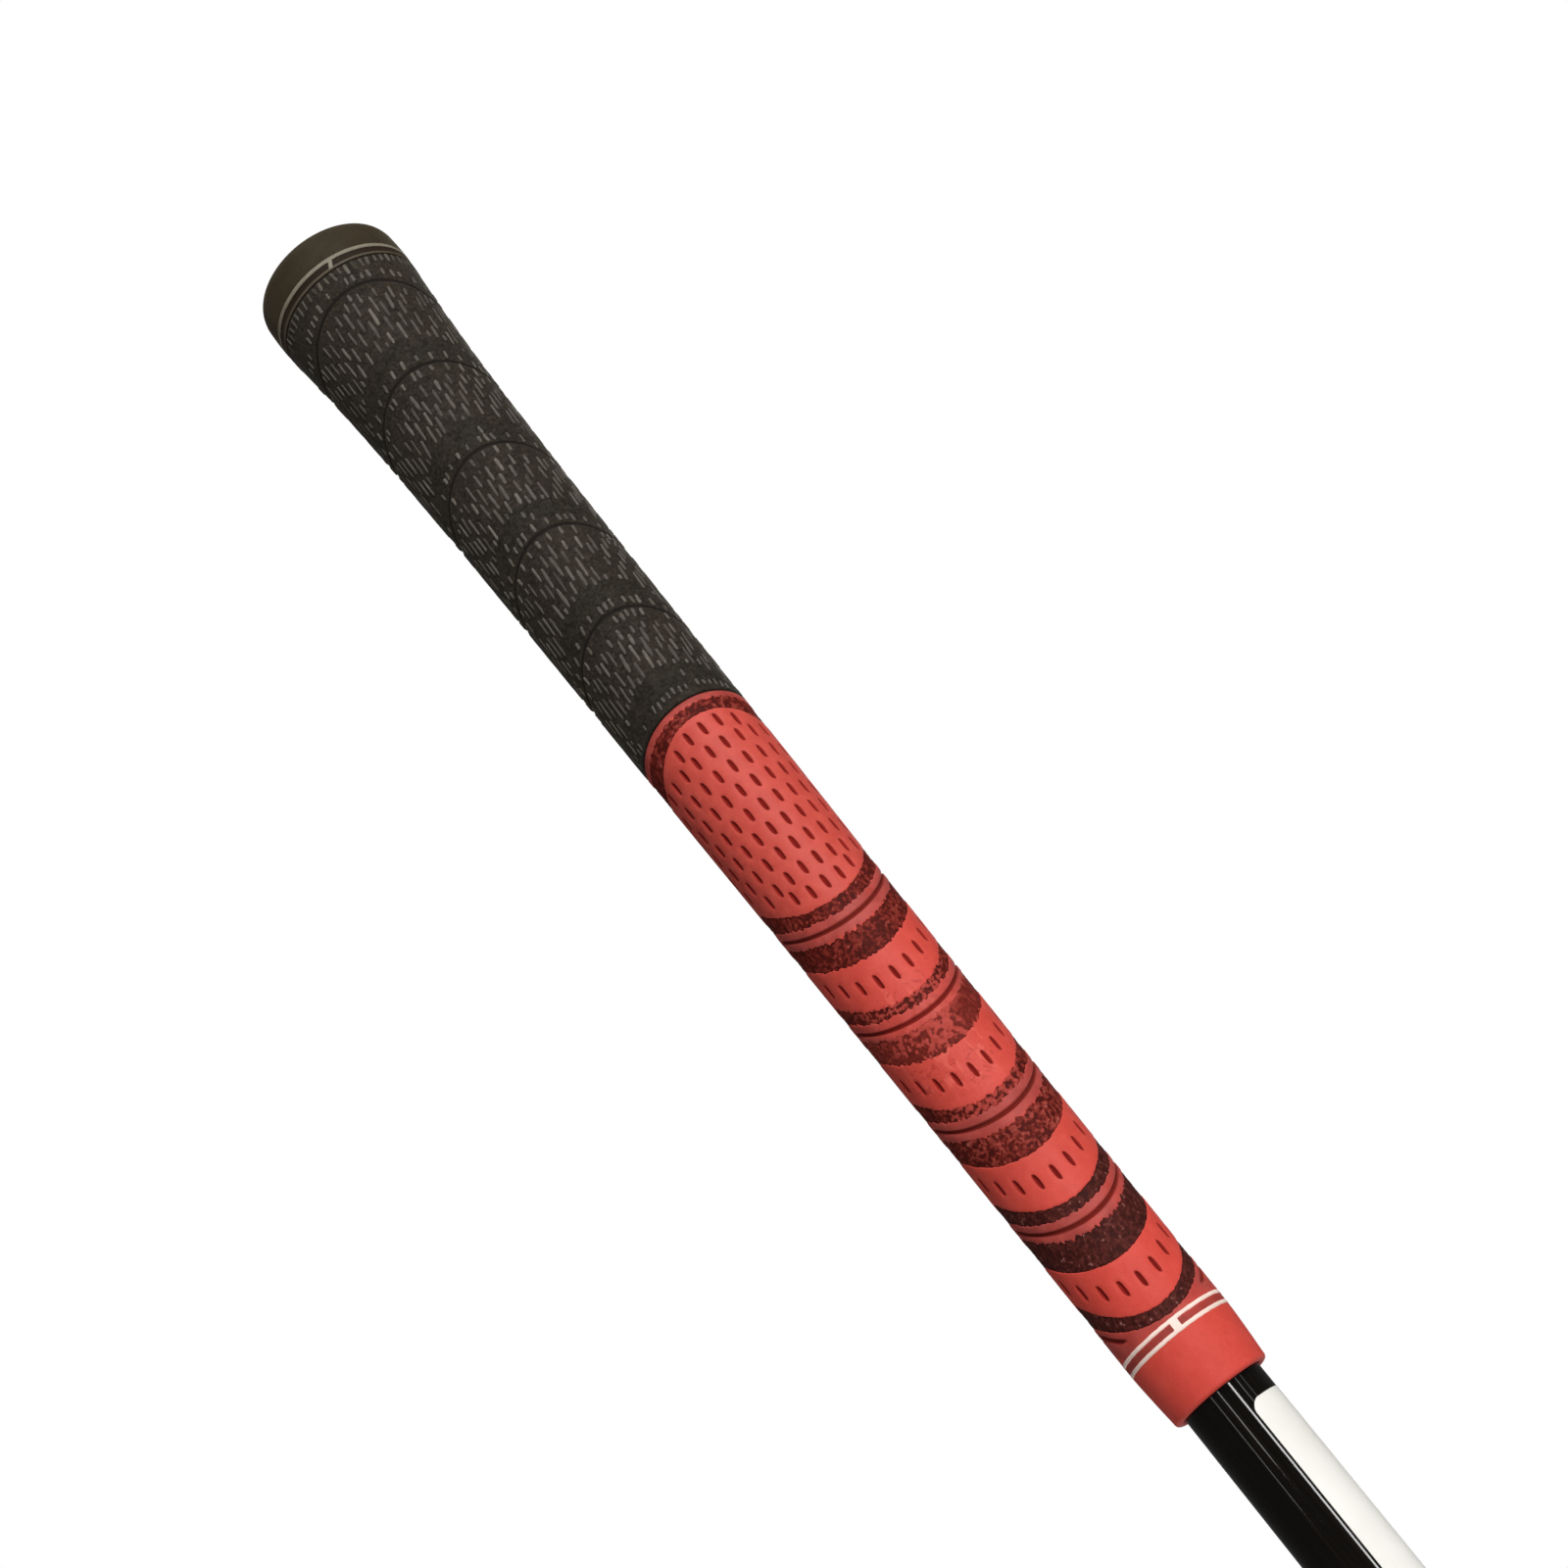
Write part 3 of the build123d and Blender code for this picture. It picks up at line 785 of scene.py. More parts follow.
def build_sleeve():
    k = Skin(240)
    lines = []

    def line(f, d, tag=0, n=None):
        k.line(f, d, tag=tag, n=n)
        lines.append(f)

    line(arc_line(0.70, 0), 0.0, tag=1)
    line(arc_line(12.35, 0), 0.0)
    for i, b in enumerate(BANDS):
        lo, hi = band_edge(i, False), band_edge(i, True)
        line(offset(lo, -0.15), 0.0)
        line(lo, 0.035, n=396)
        line(offset(lo, 0.10), 0.30, tag=2, n=396)
        line(offset(hi, -0.10), 0.30, tag=2, n=396)
        line(hi, 0.035, n=396)
        line(offset(hi, 0.15 if i < 9 else 0.12), 0.0)
    for z, a in GROOVES:
        for off, d in ((-0.60, 0.02), (-0.43, 0.07), (-0.27, 0.38), (0.0, 0.46), (0.27, 0.38), (0.43, 0.07), (0.60, 0.02)):
            line(arc_line(z + off, a), d, tag=3 if abs(off) < 0.4 else (7 if abs(off) < 0.5 else 0))
    line(offset(JOINT, -0.34), 0.0)
    line(offset(JOINT, -0.10), 0.22, tag=4)
    k.rows.sort()
    free = thin(lattice(0.75, 142.0, 0.80, 5), lines, 0.30)
    extra = lattice(12.6, 21.5, 0.30, 6)
    psi_e = extra[:, 0] / RM
    side = (np.abs(lean(psi_e)) > 0.2) & (np.abs(extra[:, 1] - (10.9 + 7.6 * lean(psi_e))) < 0.95) & (extra[:, 1] > 12.6)
    extra = thin(extra[side], lines, 0.16)
    near = np.zeros(len(free), bool)
    fp = free[:, 0] / RM
    near = (np.abs(lean(fp)) > 0.18) & (np.abs(free[:, 1] - (10.9 + 7.6 * lean(fp))) < 1.15) & (free[:, 1] > 12.4)
    free = free[~near]
    slots = slot_centres()
    for s, z in slots:
        ds = np.abs(free[:, 0] - s)
        inside = (ds / 0.98) ** 2 + ((free[:, 1] - z) / 1.95) ** 2 < 1
        free = free[~inside]
    free = free[(free[:, 1] < JOINT(free[:, 0] / RM) - 0.5)]
    for pts in (free, extra):
        k.add(pts[:, 0], pts[:, 1], np.full(len(pts), np.nan), chain=False)
    for s, z in slots:
        for grow, d, tag in ((0.16, 0.0, 0), (0.02, 0.05, 5), (-0.13, 0.32, 6), (-0.26, 0.44, 6)):
            ss, zz = slot_ring(s, z, grow)
            k.add(ss, zz, d, closed=True, tag=tag)
    k.seal_seam(0.8)

    def depth_of(s, z):
        psi = s / RM
        d = np.zeros_like(z)
        for i in range(len(BANDS)):
            lo, hi = band_edge(i, False)(psi), band_edge(i, True)(psi)
            d = np.where((z > lo) & (z < hi), 0.30, d)
        off = np.abs(z - (10.9 + 7.6 * lean(psi)))
        d = np.maximum(d, 0.42 * step(off, 0.56, 0.24) * step(z, 13.7, 14.3))
        # the moulded surface is never quite true
        d = d + 0.012 * swell(s, z, 5.0, 31) + 0.006 * swell(s, z, 2.1, 32)
        return d

    co, depth, tags, tri, back = k.solve(depth_of)
    s, z = co[:, 0], co[:, 1]
    psi = s / RM
    zeta = front(z, psi)
    r = OUTER(z) - depth
    outer_co = place(s, z, r)
    # tone masks
    dull = np.zeros(len(z))
    for zg, a in GROOVES:
        off = z - (zg + a * lean(psi))
        dull = np.maximum(dull, step(np.abs(off), 2.25, 1.9))
    rim1 = z - (10.9 + 7.6 * lean(psi))
    dull = np.maximum(dull, 0.9 * step(z, 12.2, 12.4) * step(rim1, 2.3, 1.8) * (rim1 > -4))
    gap = step(z, 10.30, 10.42) * step(z, 11.58, 11.46)
    dull = np.maximum(dull, gap)
    dull = np.maximum(dull, step(zeta, 140.75, 141.0))
    smooth_zone = np.zeros(len(z))
    for a, b in ((15.2, 23.8), (35.7, 44.5), (56.3, 66.0), (77.0, 85.6), (97.8, 138.6)):
        smooth_zone = np.maximum(smooth_zone, (zeta > a) & (zeta < b))
    dull = dull * (1 - smooth_zone)
    dull = dull * (0.80 + 0.20 * swell(s, z, 3.0, 41))
    # the rims are rubbed bright where the thumb lies
    rub = step(np.abs(zeta - 73.5), 4.5, 2.0) * step(np.abs(np.degrees(psi) + 8), 62, 30)
    dull = dull * (1 - 0.55 * rub)
    # cut mask: painted shade in the grooves, the first groove and the slots (tags 3, 5, 6, 7), less between the collar
    # rings and at the joint rim; tag 4 is the dark joint line
    cut = np.isin(tags, (3, 6)) * 1.0
    cut = np.maximum(cut, (tags == 5) * 0.72)
    cut = np.maximum(cut, (tags == 7) * 0.45)
    cut = np.maximum(cut, 0.28 * gap)
    cut = np.maximum(cut, 0.14 * step(zeta, 140.8, 141.1))
    first = step(np.abs(z - (10.9 + 7.6 * lean(psi))), 0.66, 0.40) * step(z, 13.8, 14.3)
    cut = np.maximum(cut, first)
    cut = np.maximum(cut, (tags == 4) * 0.9)
    in_band = depth > 0.25
    scuff = step(np.abs(zeta - 62.5), 6.0, 2.5) * step(np.abs(np.degrees(psi) + 12), 75, 30)
    scuff = np.maximum(scuff, step(np.abs(zeta - 75.5), 6.5, 2.0) * step(np.abs(np.degrees(psi)), 70, 30))
    scuff = np.maximum(scuff, 0.35 * step(np.abs(zeta - 52.5), 5.0, 2.0) * step(np.abs(np.degrees(psi)), 70, 30))
    scuff = np.maximum(scuff, 0.16)
    # the red is darker higher up the grip, rising over 24-48 mm and again over 84-102 mm above the mouth
    darker_up_grip = 0.42 * step(z, 24, 48) + 0.58 * step(z, 84, 102)

    # close the sheet: rounded mouth, inside wall, top edge
    n = k.n
    faces = list(tri)
    bottom = [back[k.rows[0][1] + j] for j in range(n)]
    top = [back[k.rows[-1][1] + j] for j in range(n)]
    psi_n = np.linspace(-np.pi, np.pi, n + 1)[:-1]
    sn = psi_n * RM
    rings, prev = [], bottom
    co_all, base = [outer_co], len(outer_co)
    top_z = JOINT(psi_n) - 0.02
    lip = [(8.02 + 0.70 * math.cos(math.radians(t)), 0.70 + 0.70 * math.sin(math.radians(t))) for t in (-12, -25, -38, -52, -66, -80, -90)]
    inside = lip + [(7.62, 0.02), (7.30, 0.12), (7.10, 0.40), (7.065, 1.0), (7.07, 2.9), (7.07, 3.0), (7.35, 3.0), (float(OUTER(3.0)) - COVER, 3.0)]
    ring_specs = [(np.full(n, rr), np.full(n, zz)) for rr, zz in inside]
    for f in np.linspace(0.06, 0.94, 12):
        zz = 3.0 + (top_z - 3.0) * f
        ring_specs.append((OUTER(zz) - COVER, zz))
    ring_specs.append((OUTER(top_z) - COVER, top_z))
    ring_specs.append((OUTER(top_z) - 0.32, top_z))
    count_outer = len(outer_co)
    inner_faces = 0
    for rr, zz in ring_specs:
        co_all.append(place(sn, zz, rr))
        ring = list(range(base, base + n))
        for j in range(n):
            q = (j + 1) % n
            faces.append((prev[j], ring[j], ring[q], prev[q]))
        prev, base = ring, base + n
    for j in range(n):
        q = (j + 1) % n
        faces.append((prev[j], top[j], top[q], prev[q]))
    co_all = np.concatenate(co_all)
    extra_n = len(co_all) - count_outer

    def pad(v, fill=0.0):
        return np.concatenate([v, np.full(extra_n, fill)])
    u = np.concatenate([s / TURN + 0.5] + [sn / TURN + 0.5] * len(ring_specs))
    vz = np.concatenate([z / 142.2] + [np.full(n, (i + 1) / (len(ring_specs) + 1)) for i in range(len(ring_specs))])
    inner = np.array([False] * len(tri) + [True] * (len(faces) - len(tri)))
    ob = add_mesh("red_sleeve", co_all, faces, [RED],
                  attrs={"dull": pad(dull), "cut": pad(cut), "scuff": pad(scuff), "darker_up_grip": pad(darker_up_grip)},
                  uv=(np.clip(u, 0, 1), np.clip(vz, 0, 1), inner), replaces=("lower_sleeve",), slot="red_rubber")
    return ob


sleeve = build_sleeve()


# --- rough bands --------------------------------------------------------------------
def build_band(i):
    z_lo, a_lo, z_hi, a_hi, j_lo, j_hi, light, worn_amount = BANDS[i]
    lo, hi = band_edge(i, False), band_edge(i, True)
    cols = 396
    psi = np.linspace(-np.pi, np.pi, cols, endpoint=False)
    s = psi * RM
    zl, zh = lo(psi) + 0.05, hi(psi) - 0.05
    rows = max(11, int(round((z_hi - z_lo) / 0.155)))
    t = np.linspace(0, 1, rows)
    Z = zl[:, None] * (1 - t) + zh[:, None] * t
    S_ = np.repeat(s[:, None], rows, 1)
    P = S_ / RM
    fold = np.abs((np.degrees(P) + 90) % 180 - 90)
    side = step(fold, 42, 72)
    # dark hollows between light crests, of no set shape
    w1, w2 = swell(S_, Z, 0.9, 300 + i), swell(S_, Z, 0.9, 320 + i)
    lump = swell(S_ + 0.30 * w1, Z + 0.30 * w2, 0.46, 311 + i, 1.1) + 0.60 * swell(S_, Z, 0.33, 331 + i)
    ridge = step(np.abs(swell(S_ - 0.3 * w2, Z + 0.3 * w1, 0.80, 341 + i)), 0.34, 0.05)
    broad = swell(S_, Z, 1.9, 361 + i)
    net = step(lump + 0.35 * ridge, -0.62, 0.80)
    fine = swell(S_, Z, 0.36, 381 + i)
    glint = step(swell(S_, Z, 0.50, 391 + i) + 0.4 * fine, 0.66, 1.0)
    tone = 0.10 + 0.05 * broad + (0.16 + 0.84 * light) * net + 0.34 * glint * net
    if light < 0.25:
        tone = tone + 0.16 + 0.10 * fine + 0.50 * step(swell(S_, Z, 0.42, 371 + i) + 0.5 * fine, 0.80, 1.15)
    tone = tone * (1 - 0.30 * side) + 0.15 * side
    # painted shade: the fill's colour is darker within 0.25 mm of its edges, where it meets the wall of its recess
    edge = np.minimum(t, 1 - t)[None, :] * (zh - zl)[:, None]
    tone = np.clip(tone * (0.75 + 0.25 * step(edge, 0.0, 0.25)), 0.0, 1.0)
    # rubbed through to the red
    wear = np.zeros_like(Z)
    deg = np.degrees(P)
    tt = t[None, :]
    if worn_amount >= 1.0:
        n = (swell(S_ + 0.35 * w1, Z + 0.35 * w2, 0.62, 411 + i, 1.1) + 0.55 * swell(S_, Z, 0.38, 431 + i)
             + 0.30 * swell(S_, Z, 1.3, 421 + i))
        bare = np.exp(-(((deg - 6) / 14) ** 2)) * step(tt, 0.20, 0.62)
        want = 0.30 - 0.46 * bare + 0.26 * step(tt, 0.30, 0.05) - 0.26 * step(tt, 0.60, 0.98) + 0.22 * step(deg, -8, -40) + 0.30 * step(deg, 10, 24)
        wear = 1 - 0.92 * step(n + want, 0.06, 0.52)
        patch = step(deg, 16, 28) * step(tt, 0.03, 0.18) * step(tt, 1.04, 0.86)
        far = step(deg, -40, -58)
        tone = np.clip(0.39 + 0.16 * fine + 0.16 * far + 0.02 * patch, 0, 1)
        wear = np.clip(wear * (1 - 0.45 * far), 0, 1) * (1 - patch) + patch * (0.06 + 0.26 * wear)
    elif worn_amount > 0:
        where = step(np.abs(deg + 4), 64, 26)
        wear = step(lump + 0.3 * ridge - 1.05 + 1.5 * worn_amount, -0.15, 0.45) * where * 0.85
    depth = 0.125 - 0.085 * (net - 0.45) - 0.012 * fine
    depth = depth * (1 - wear) + 0.045 * wear
    rim = step(edge, 0.0, 0.18)
    depth = np.clip(depth * rim + (0.11 - 0.06 * wear) * (1 - rim), 0.015, 0.27)
    R = OUTER(Z) - depth
    # closed ring: floor, low wall, rough face, high wall
    floor_lo = np.stack([s, zl, OUTER(zl) - 0.285, np.zeros(cols)])
    floor_hi = np.stack([s, zh, OUTER(zh) - 0.285, np.zeros(cols)])
    sec_s = np.concatenate([floor_lo[0][:, None], S_, floor_hi[0][:, None]], 1)
    sec_z = np.concatenate([zl[:, None], Z, zh[:, None]], 1)
    sec_r = np.concatenate([floor_lo[2][:, None], R, floor_hi[2][:, None]], 1)
    co = place(sec_s, sec_z, sec_r).reshape(-1, 3)
    m = rows + 2
    faces, inner = [], []
    for c in range(cols):
        q = (c + 1) % cols
        for j in range(m):
            w = (j + 1) % m
            faces.append((c * m + j, q * m + j, q * m + w, c * m + w))
            inner.append(j == m - 1)
    # the fill's walls down in the recess get half the tone: painted shade
    tone_v = np.concatenate([tone[:, :1] * 0.5, tone, tone[:, -1:] * 0.5], 1).ravel()
    wear_v = np.concatenate([wear[:, :1], wear, wear[:, -1:]], 1).ravel()
    u = np.repeat(psi / (2 * np.pi) + 0.5, m)
    v = np.tile(np.linspace(0, 1, m), cols)
    add_mesh(f"rough_band_{i + 1:02d}", co, faces, [BAND_DARK if light < 0.25 else BAND], attrs={"tone": tone_v, "worn": wear_v},
             uv=(u, v, np.array(inner)), replaces=(f"band_fill_{i + 1:02d}",), slot="band_dark")


for i in range(len(BANDS)):
    build_band(i)

# --- black upper skin -----------------------------------------------------------------
CORD_GROOVES = [163.8, 184.7, 206.0, 227.6, 249.3]
WINDOWS = [(150.2, 159.6), (170.5, 181.0), (191.4, 202.0), (213.0, 223.4), (234.6, 246.8)]
SEAT = 254.6


def rough_zone(zeta, psi):
    """1 in the coarse plain zones under each groove, 0 where the cord shows."""
    v = np.zeros_like(zeta)
    lows = [143.0] + CORD_GROOVES
    for (a, b), low in zip(WINDOWS, lows):
        v = np.maximum(v, step(zeta, low + 0.3, low + 1.2) * step(zeta, a + 0.6, a - 0.6))
    return v


def build_skin():
    k = Skin(260)
    lines = []

    def line(f, d, tag=0):
        k.line(f, d, tag=tag)
        lines.append(f)

    line(offset(JOINT, 0.06), 0.20, tag=4)
    line(offset(JOINT, 0.34), 0.0)
    for zg in CORD_GROOVES:
        for off, d in ((-0.58, 0.0), (-0.42, 0.04), (-0.26, 0.21), (0.0, 0.28), (0.26, 0.21), (0.42, 0.04), (0.58, 0.0)):
            line(arc_line(zg + off, -9.2), d + 0.02, tag=3 if abs(off) < 0.35 else 0)
    line(arc_line(SEAT - 0.32, 0), 0.0)
    line(arc_line(SEAT - 0.05, 0), 0.16, tag=4)
    k.rows.sort()
    free = lattice(139.0, SEAT - 0.2, 0.52, 8)
    free = free[free[:, 1] > JOINT(free[:, 0] / RM) + 0.5]
    free = thin(free, lines, 0.22)
    free = free[np.abs(free[:, 1] - (SEAT - 0.2)) > 0.3]
    k.add(free[:, 0], free[:, 1], np.full(len(free), np.nan), chain=False)
    k.seal_seam(0.55)

    def depth_of(s, z):
        psi = s / RM
        zeta = front(z, psi)
        rough = rough_zone(zeta, psi)
        _, _, who = grains(s, z, 0.9, 510)
        d1, d2, _ = grains(s, z, 0.9, 510)
        pebble = np.clip(1 - 1.2 * d1, 0, 1) * (0.4 + 0.6 * who)
        d = 0.07 * rough - 0.10 * rough * pebble
        d = d + 0.055 + 0.018 * swell(s, z, 0.8, 511) + 0.02 * swell(s, z, 3.2, 512)
        # shallow waist ahead of each groove
        for zg in CORD_GROOVES:
            d = d + 0.05 * np.exp(-((zeta - zg) / 2.2) ** 2)
        edge = step(z, SEAT - 0.3, SEAT - 1.2) * step(z - JOINT(psi), 0.3, 1.0)
        return np.maximum(d * edge, -0.05)

    co, depth, tags, tri, back = k.solve(depth_of)
    s, z = co[:, 0], co[:, 1]
    psi = s / RM
    zeta = front(z, psi)
    for zg in CORD_GROOVES:
        depth = np.where(np.abs(zeta - zg) < 0.62, depth + 0.06, depth)
    r = np.minimum(OUTER(z) - depth, OUTER(z) + 0.05)
    outer_co = place(s, z, r)
    rough = rough_zone(zeta, psi)
    # cut mask: painted shade in the cord grooves (tag 3) and the dark joint lines (tag 4)
    cut = np.isin(tags, (3, 4)) * 1.0
    n = k.n
    faces = list(tri)
    bottom = [back[k.rows[0][1] + j] for j in range(n)]
    top = [back[k.rows[-1][1] + j] for j in range(n)]
    psi_n = np.linspace(-np.pi, np.pi, n + 1)[:-1]
    sn = psi_n * RM
    low_z = JOINT(psi_n) + 0.02
    top_z = np.full(n, SEAT - 0.01)
    specs = [(OUTER(low_z) - 0.32, low_z), (OUTER(low_z) - COVER, low_z)]
    for f in np.linspace(0.06, 0.94, 12):
        zz = low_z + (top_z - low_z) * f
        specs.append((OUTER(zz) - COVER, zz))
    specs += [(OUTER(top_z) - COVER, top_z), (OUTER(top_z) - 0.30, top_z)]
    prev, base, parts = bottom, len(outer_co), [outer_co]
    for rr, zz in specs:
        parts.append(place(sn, zz, rr))
        ring = list(range(base, base + n))
        for j in range(n):
            q = (j + 1) % n
            faces.append((prev[j], ring[j], ring[q], prev[q]))
        prev, base = ring, base + n
    for j in range(n):
        q = (j + 1) % n
        faces.append((prev[j], top[j], top[q], prev[q]))
    co_all = np.concatenate(parts)
    extra_n = len(co_all) - len(outer_co)

    def pad(v, fill=0.0):
        return np.concatenate([v, np.full(extra_n, fill)])
    u = np.concatenate([s / TURN + 0.5] + [sn / TURN + 0.5] * len(specs))
    vz = np.concatenate([(z - 138) / 117.0] + [np.full(n, (i + 1) / (len(specs) + 1)) for i in range(len(specs))])
    inner = np.array([False] * len(tri) + [True] * (len(faces) - len(tri)))
    add_mesh("black_skin", co_all, faces, [BLACK], attrs={"rough": pad(rough), "cut": pad(cut, 0.0)},
             uv=(np.clip(u, 0, 1), np.clip(vz, 0, 1), inner), replaces=("cord_skin",), slot="black_rubber")


build_skin()


# --- cotton cord showing through --------------------------------------------------------
CORD_LINES = 60                               # lines of cord round the grip


def cord_strands():
    """Place, length, width, slant, brightness and tint of every strand that shows."""
    rng = np.random.default_rng(20261)
    out = []

    def row(psi, lo, hi, phase, tone):
        """Strands along one line of the cord: every other line is set half a step on."""
        k = -2
        while True:
            mid = lo + 1.6 + (k + phase) * 5.3 + rng.normal(0, 0.30)
            k += 1
            half = 0.5 * float(np.clip(rng.normal(3.55, 0.6), 1.8, 4.7))
            if mid - half > hi:
                break
            z0, z1 = max(mid - half, lo - rng.uniform(0.0, 0.7)), min(mid + half, hi + rng.uniform(0.0, 0.7))
            if z1 - z0 < 0.8 or rng.random() > 0.97:
                continue
            tint = 0.55 if rng.random() < 0.12 else 0.0
            out.append((psi + rng.normal(0, 0.006), 0.5 * (z0 + z1), z1 - z0, rng.uniform(0.52, 0.74),
                        rng.normal(0.075, 0.035), float(np.clip(rng.normal(tone, 0.17), 0.05, 1.0)), tint))

    for w, (a, b) in enumerate(WINDOWS):
        cols = CORD_LINES
        for c in range(cols):
            psi = -math.pi + (c + 0.5) * 2 * math.pi / cols
            fold = abs((math.degrees(psi) + 90) % 180 - 90)
            grow = float(step(fold, 40, 72))
            row(psi, a + 0.1 - 3.0 * grow, b + 0.1 + 1.2 * grow, 0.5 * (c % 2), 0.50 - 0.06 * grow)
    # short stubs on both sides of every groove, and sparse strands in the plain zones
    for zg in CORD_GROOVES:
        for c in range(CORD_LINES):
            psi = -math.pi + (c + 0.5) * 2 * math.pi / CORD_LINES
            for off, odd, keep in ((1.55, 1, 0.92), (-1.55, 0, 0.86), (1.5, 0, 0.30), (-1.6, 1, 0.24), (3.6, 0, 0.14), (5.0, 1, 0.08)):
                if c % 2 == odd and rng.random() < keep:
                    out.append((psi + rng.normal(0, 0.008), zg + off + rng.uniform(-0.15, 0.25), rng.uniform(1.2, 2.0), rng.uniform(0.56, 0.76),
                                rng.normal(0.07, 0.07), rng.uniform(0.42, 0.85), 0.10))
    for c in range(CORD_LINES):
        psi = -math.pi + (c + 0.5) * 2 * math.pi / CORD_LINES
        if rng.random() < 0.82:
            out.append((psi, 144.35 + rng.uniform(-0.25, 0.35), rng.uniform(0.9, 1.7), 0.54, rng.normal(0.1, 0.08), rng.uniform(0.25, 0.68), 0.1))
        if rng.random() < 0.12:
            out.append((psi, 146.9 + rng.uniform(-0.4, 0.5), rng.uniform(1.0, 1.5), 0.56, rng.normal(0, 0.1), rng.uniform(0.3, 0.5), 0.1))
    return out


def build_cord():
    strands = cord_strands()
    rng = np.random.default_rng(77)
    rows = []
    for psi, zeta, length, width, slant, tone, tint in strands:
        z = float(height(np.array(zeta), np.array(psi)))
        if z > SEAT - 2.55 - length / 2 or z < float(JOINT(np.array(psi))) + 0.5 + length / 2:
            continue
        bad = False
        for zg in CORD_GROOVES:
            g = zg - 9.2 * float(lean(psi))
            if abs(z - g) < length / 2 + 0.50:
                bad = True
                if length > 2.0:                       # cut the strand back to the groove's edge
                    lo, hi = z - length / 2, z + length / 2
                    if g < z:
                        lo = g + 0.55
                    else:
                        hi = g - 0.55
                    if hi - lo > 0.9:
                        z, length, bad = (lo + hi) / 2, hi - lo, False
                break
        if bad:
            continue
        rows.append((psi * RM, z, length, width, slant, tone, tint))
    # comb of strands under the cap
    n = CORD_LINES
    for c in range(n):
        psi = -math.pi + (c + 0.5 + rng.uniform(-0.10, 0.10)) * 2 * math.pi / n
        length = rng.uniform(1.4, 2.5)
        rows.append((psi * RM, SEAT - 0.12 - length / 2 - rng.uniform(0, 0.15), length, rng.uniform(0.50, 0.88), rng.normal(0.03, 0.09),
                     float(np.clip(rng.normal(0.58, 0.24), 0.0, 1.0)), float(rng.choice([0.0, 0.3, 0.7]))))
    # drop strands that would run into an earlier one
    rows.sort(key=lambda q: (round(q[0] / 1.5), q[1]))
    kept, cellmap = [], {}
    for q in rows:
        s, z, length, width = q[:4]
        r = float(OUTER(z)) / RM
        hit = False
        ci, cj = int(s // 3), int(z // 5)
        for a in (-1, 0, 1):
            for b in (-1, 0, 1):
                for o in cellmap.get((ci + a, cj + b), ()):
                    if abs(o[0] - s) * r < 0.5 * (o[3] + width) + 0.12 and abs(o[1] - z) < 0.5 * (o[2] + length) + 0.10:
                        hit = True
        if not hit:
            kept.append(q)
            cellmap.setdefault((ci, cj), []).append(q)
    # each strand is a closed, slightly crowned sliver
    t = np.array([0.0, 0.10, 0.30, 0.55, 0.78, 0.92, 1.0])
    fat = np.array([0.50, 0.86, 1.0, 0.96, 1.0, 0.86, 0.48])
    ring = np.array([(-1.0, -0.14), (-0.94, 0.022), (0.0, 0.048), (0.94, 0.022), (1.0, -0.14)])
    m, h = len(t), len(ring)
    co, faces, tone_v, tint_v, us, vs = [], [], [], [], [], []
    base = 0
    for s, z, length, width, slant, tone, tint in kept:
        w = 0.5 * width * fat * (1 + 0.11 * rng.standard_normal(m))
        r = OUTER(z + (t - 0.5) * length)
        zz = z + (t - 0.5) * length
        cx = slant * (t - 0.5) * length + 0.02 * rng.standard_normal(m)
        lift = 0.65 + 0.35 * np.sin(np.pi * t)
        S_ = s + (cx[:, None] + w[:, None] * ring[:, 0]) * RM / r[:, None]
        R_ = r[:, None] + np.where(ring[:, 1] > 0, ring[:, 1] * lift[:, None], ring[:, 1])
        p = place(S_, np.repeat(zz[:, None], h, 1), R_).reshape(-1, 3)
        co.append(p)
        for i in range(m - 1):
            for j in range(h):
                q = (j + 1) % h
                faces.append((base + i * h + j, base + i * h + q, base + (i + 1) * h + q, base + (i + 1) * h + j))
        faces.append(tuple(base + j for j in range(h))[::-1])
        faces.append(tuple(base + (m - 1) * h + j for j in range(h)))
        tv = np.clip(tone + 0.08 * rng.standard_normal(m), 0, 1)
        tone_v.append(np.repeat(tv, h))
        tint_v.append(np.full(m * h, tint))
        us.append((S_ / TURN + 0.5).ravel())
        vs.append(np.repeat((zz - 138) / 117.0, h))
        base += m * h
    u, v = np.concatenate(us), np.concatenate(vs)
    add_mesh("cotton_cord", np.concatenate(co), faces, [COTTON],
             attrs={"tone": np.concatenate(tone_v), "tint": np.concatenate(tint_v)},
             uv=(np.clip(u, 0, 1), np.clip(v, 0, 1)), replaces=("cord_fabric",), slot="cord_cotton")
    print("strands", len(kept), "faces", len(faces))


build_cord()


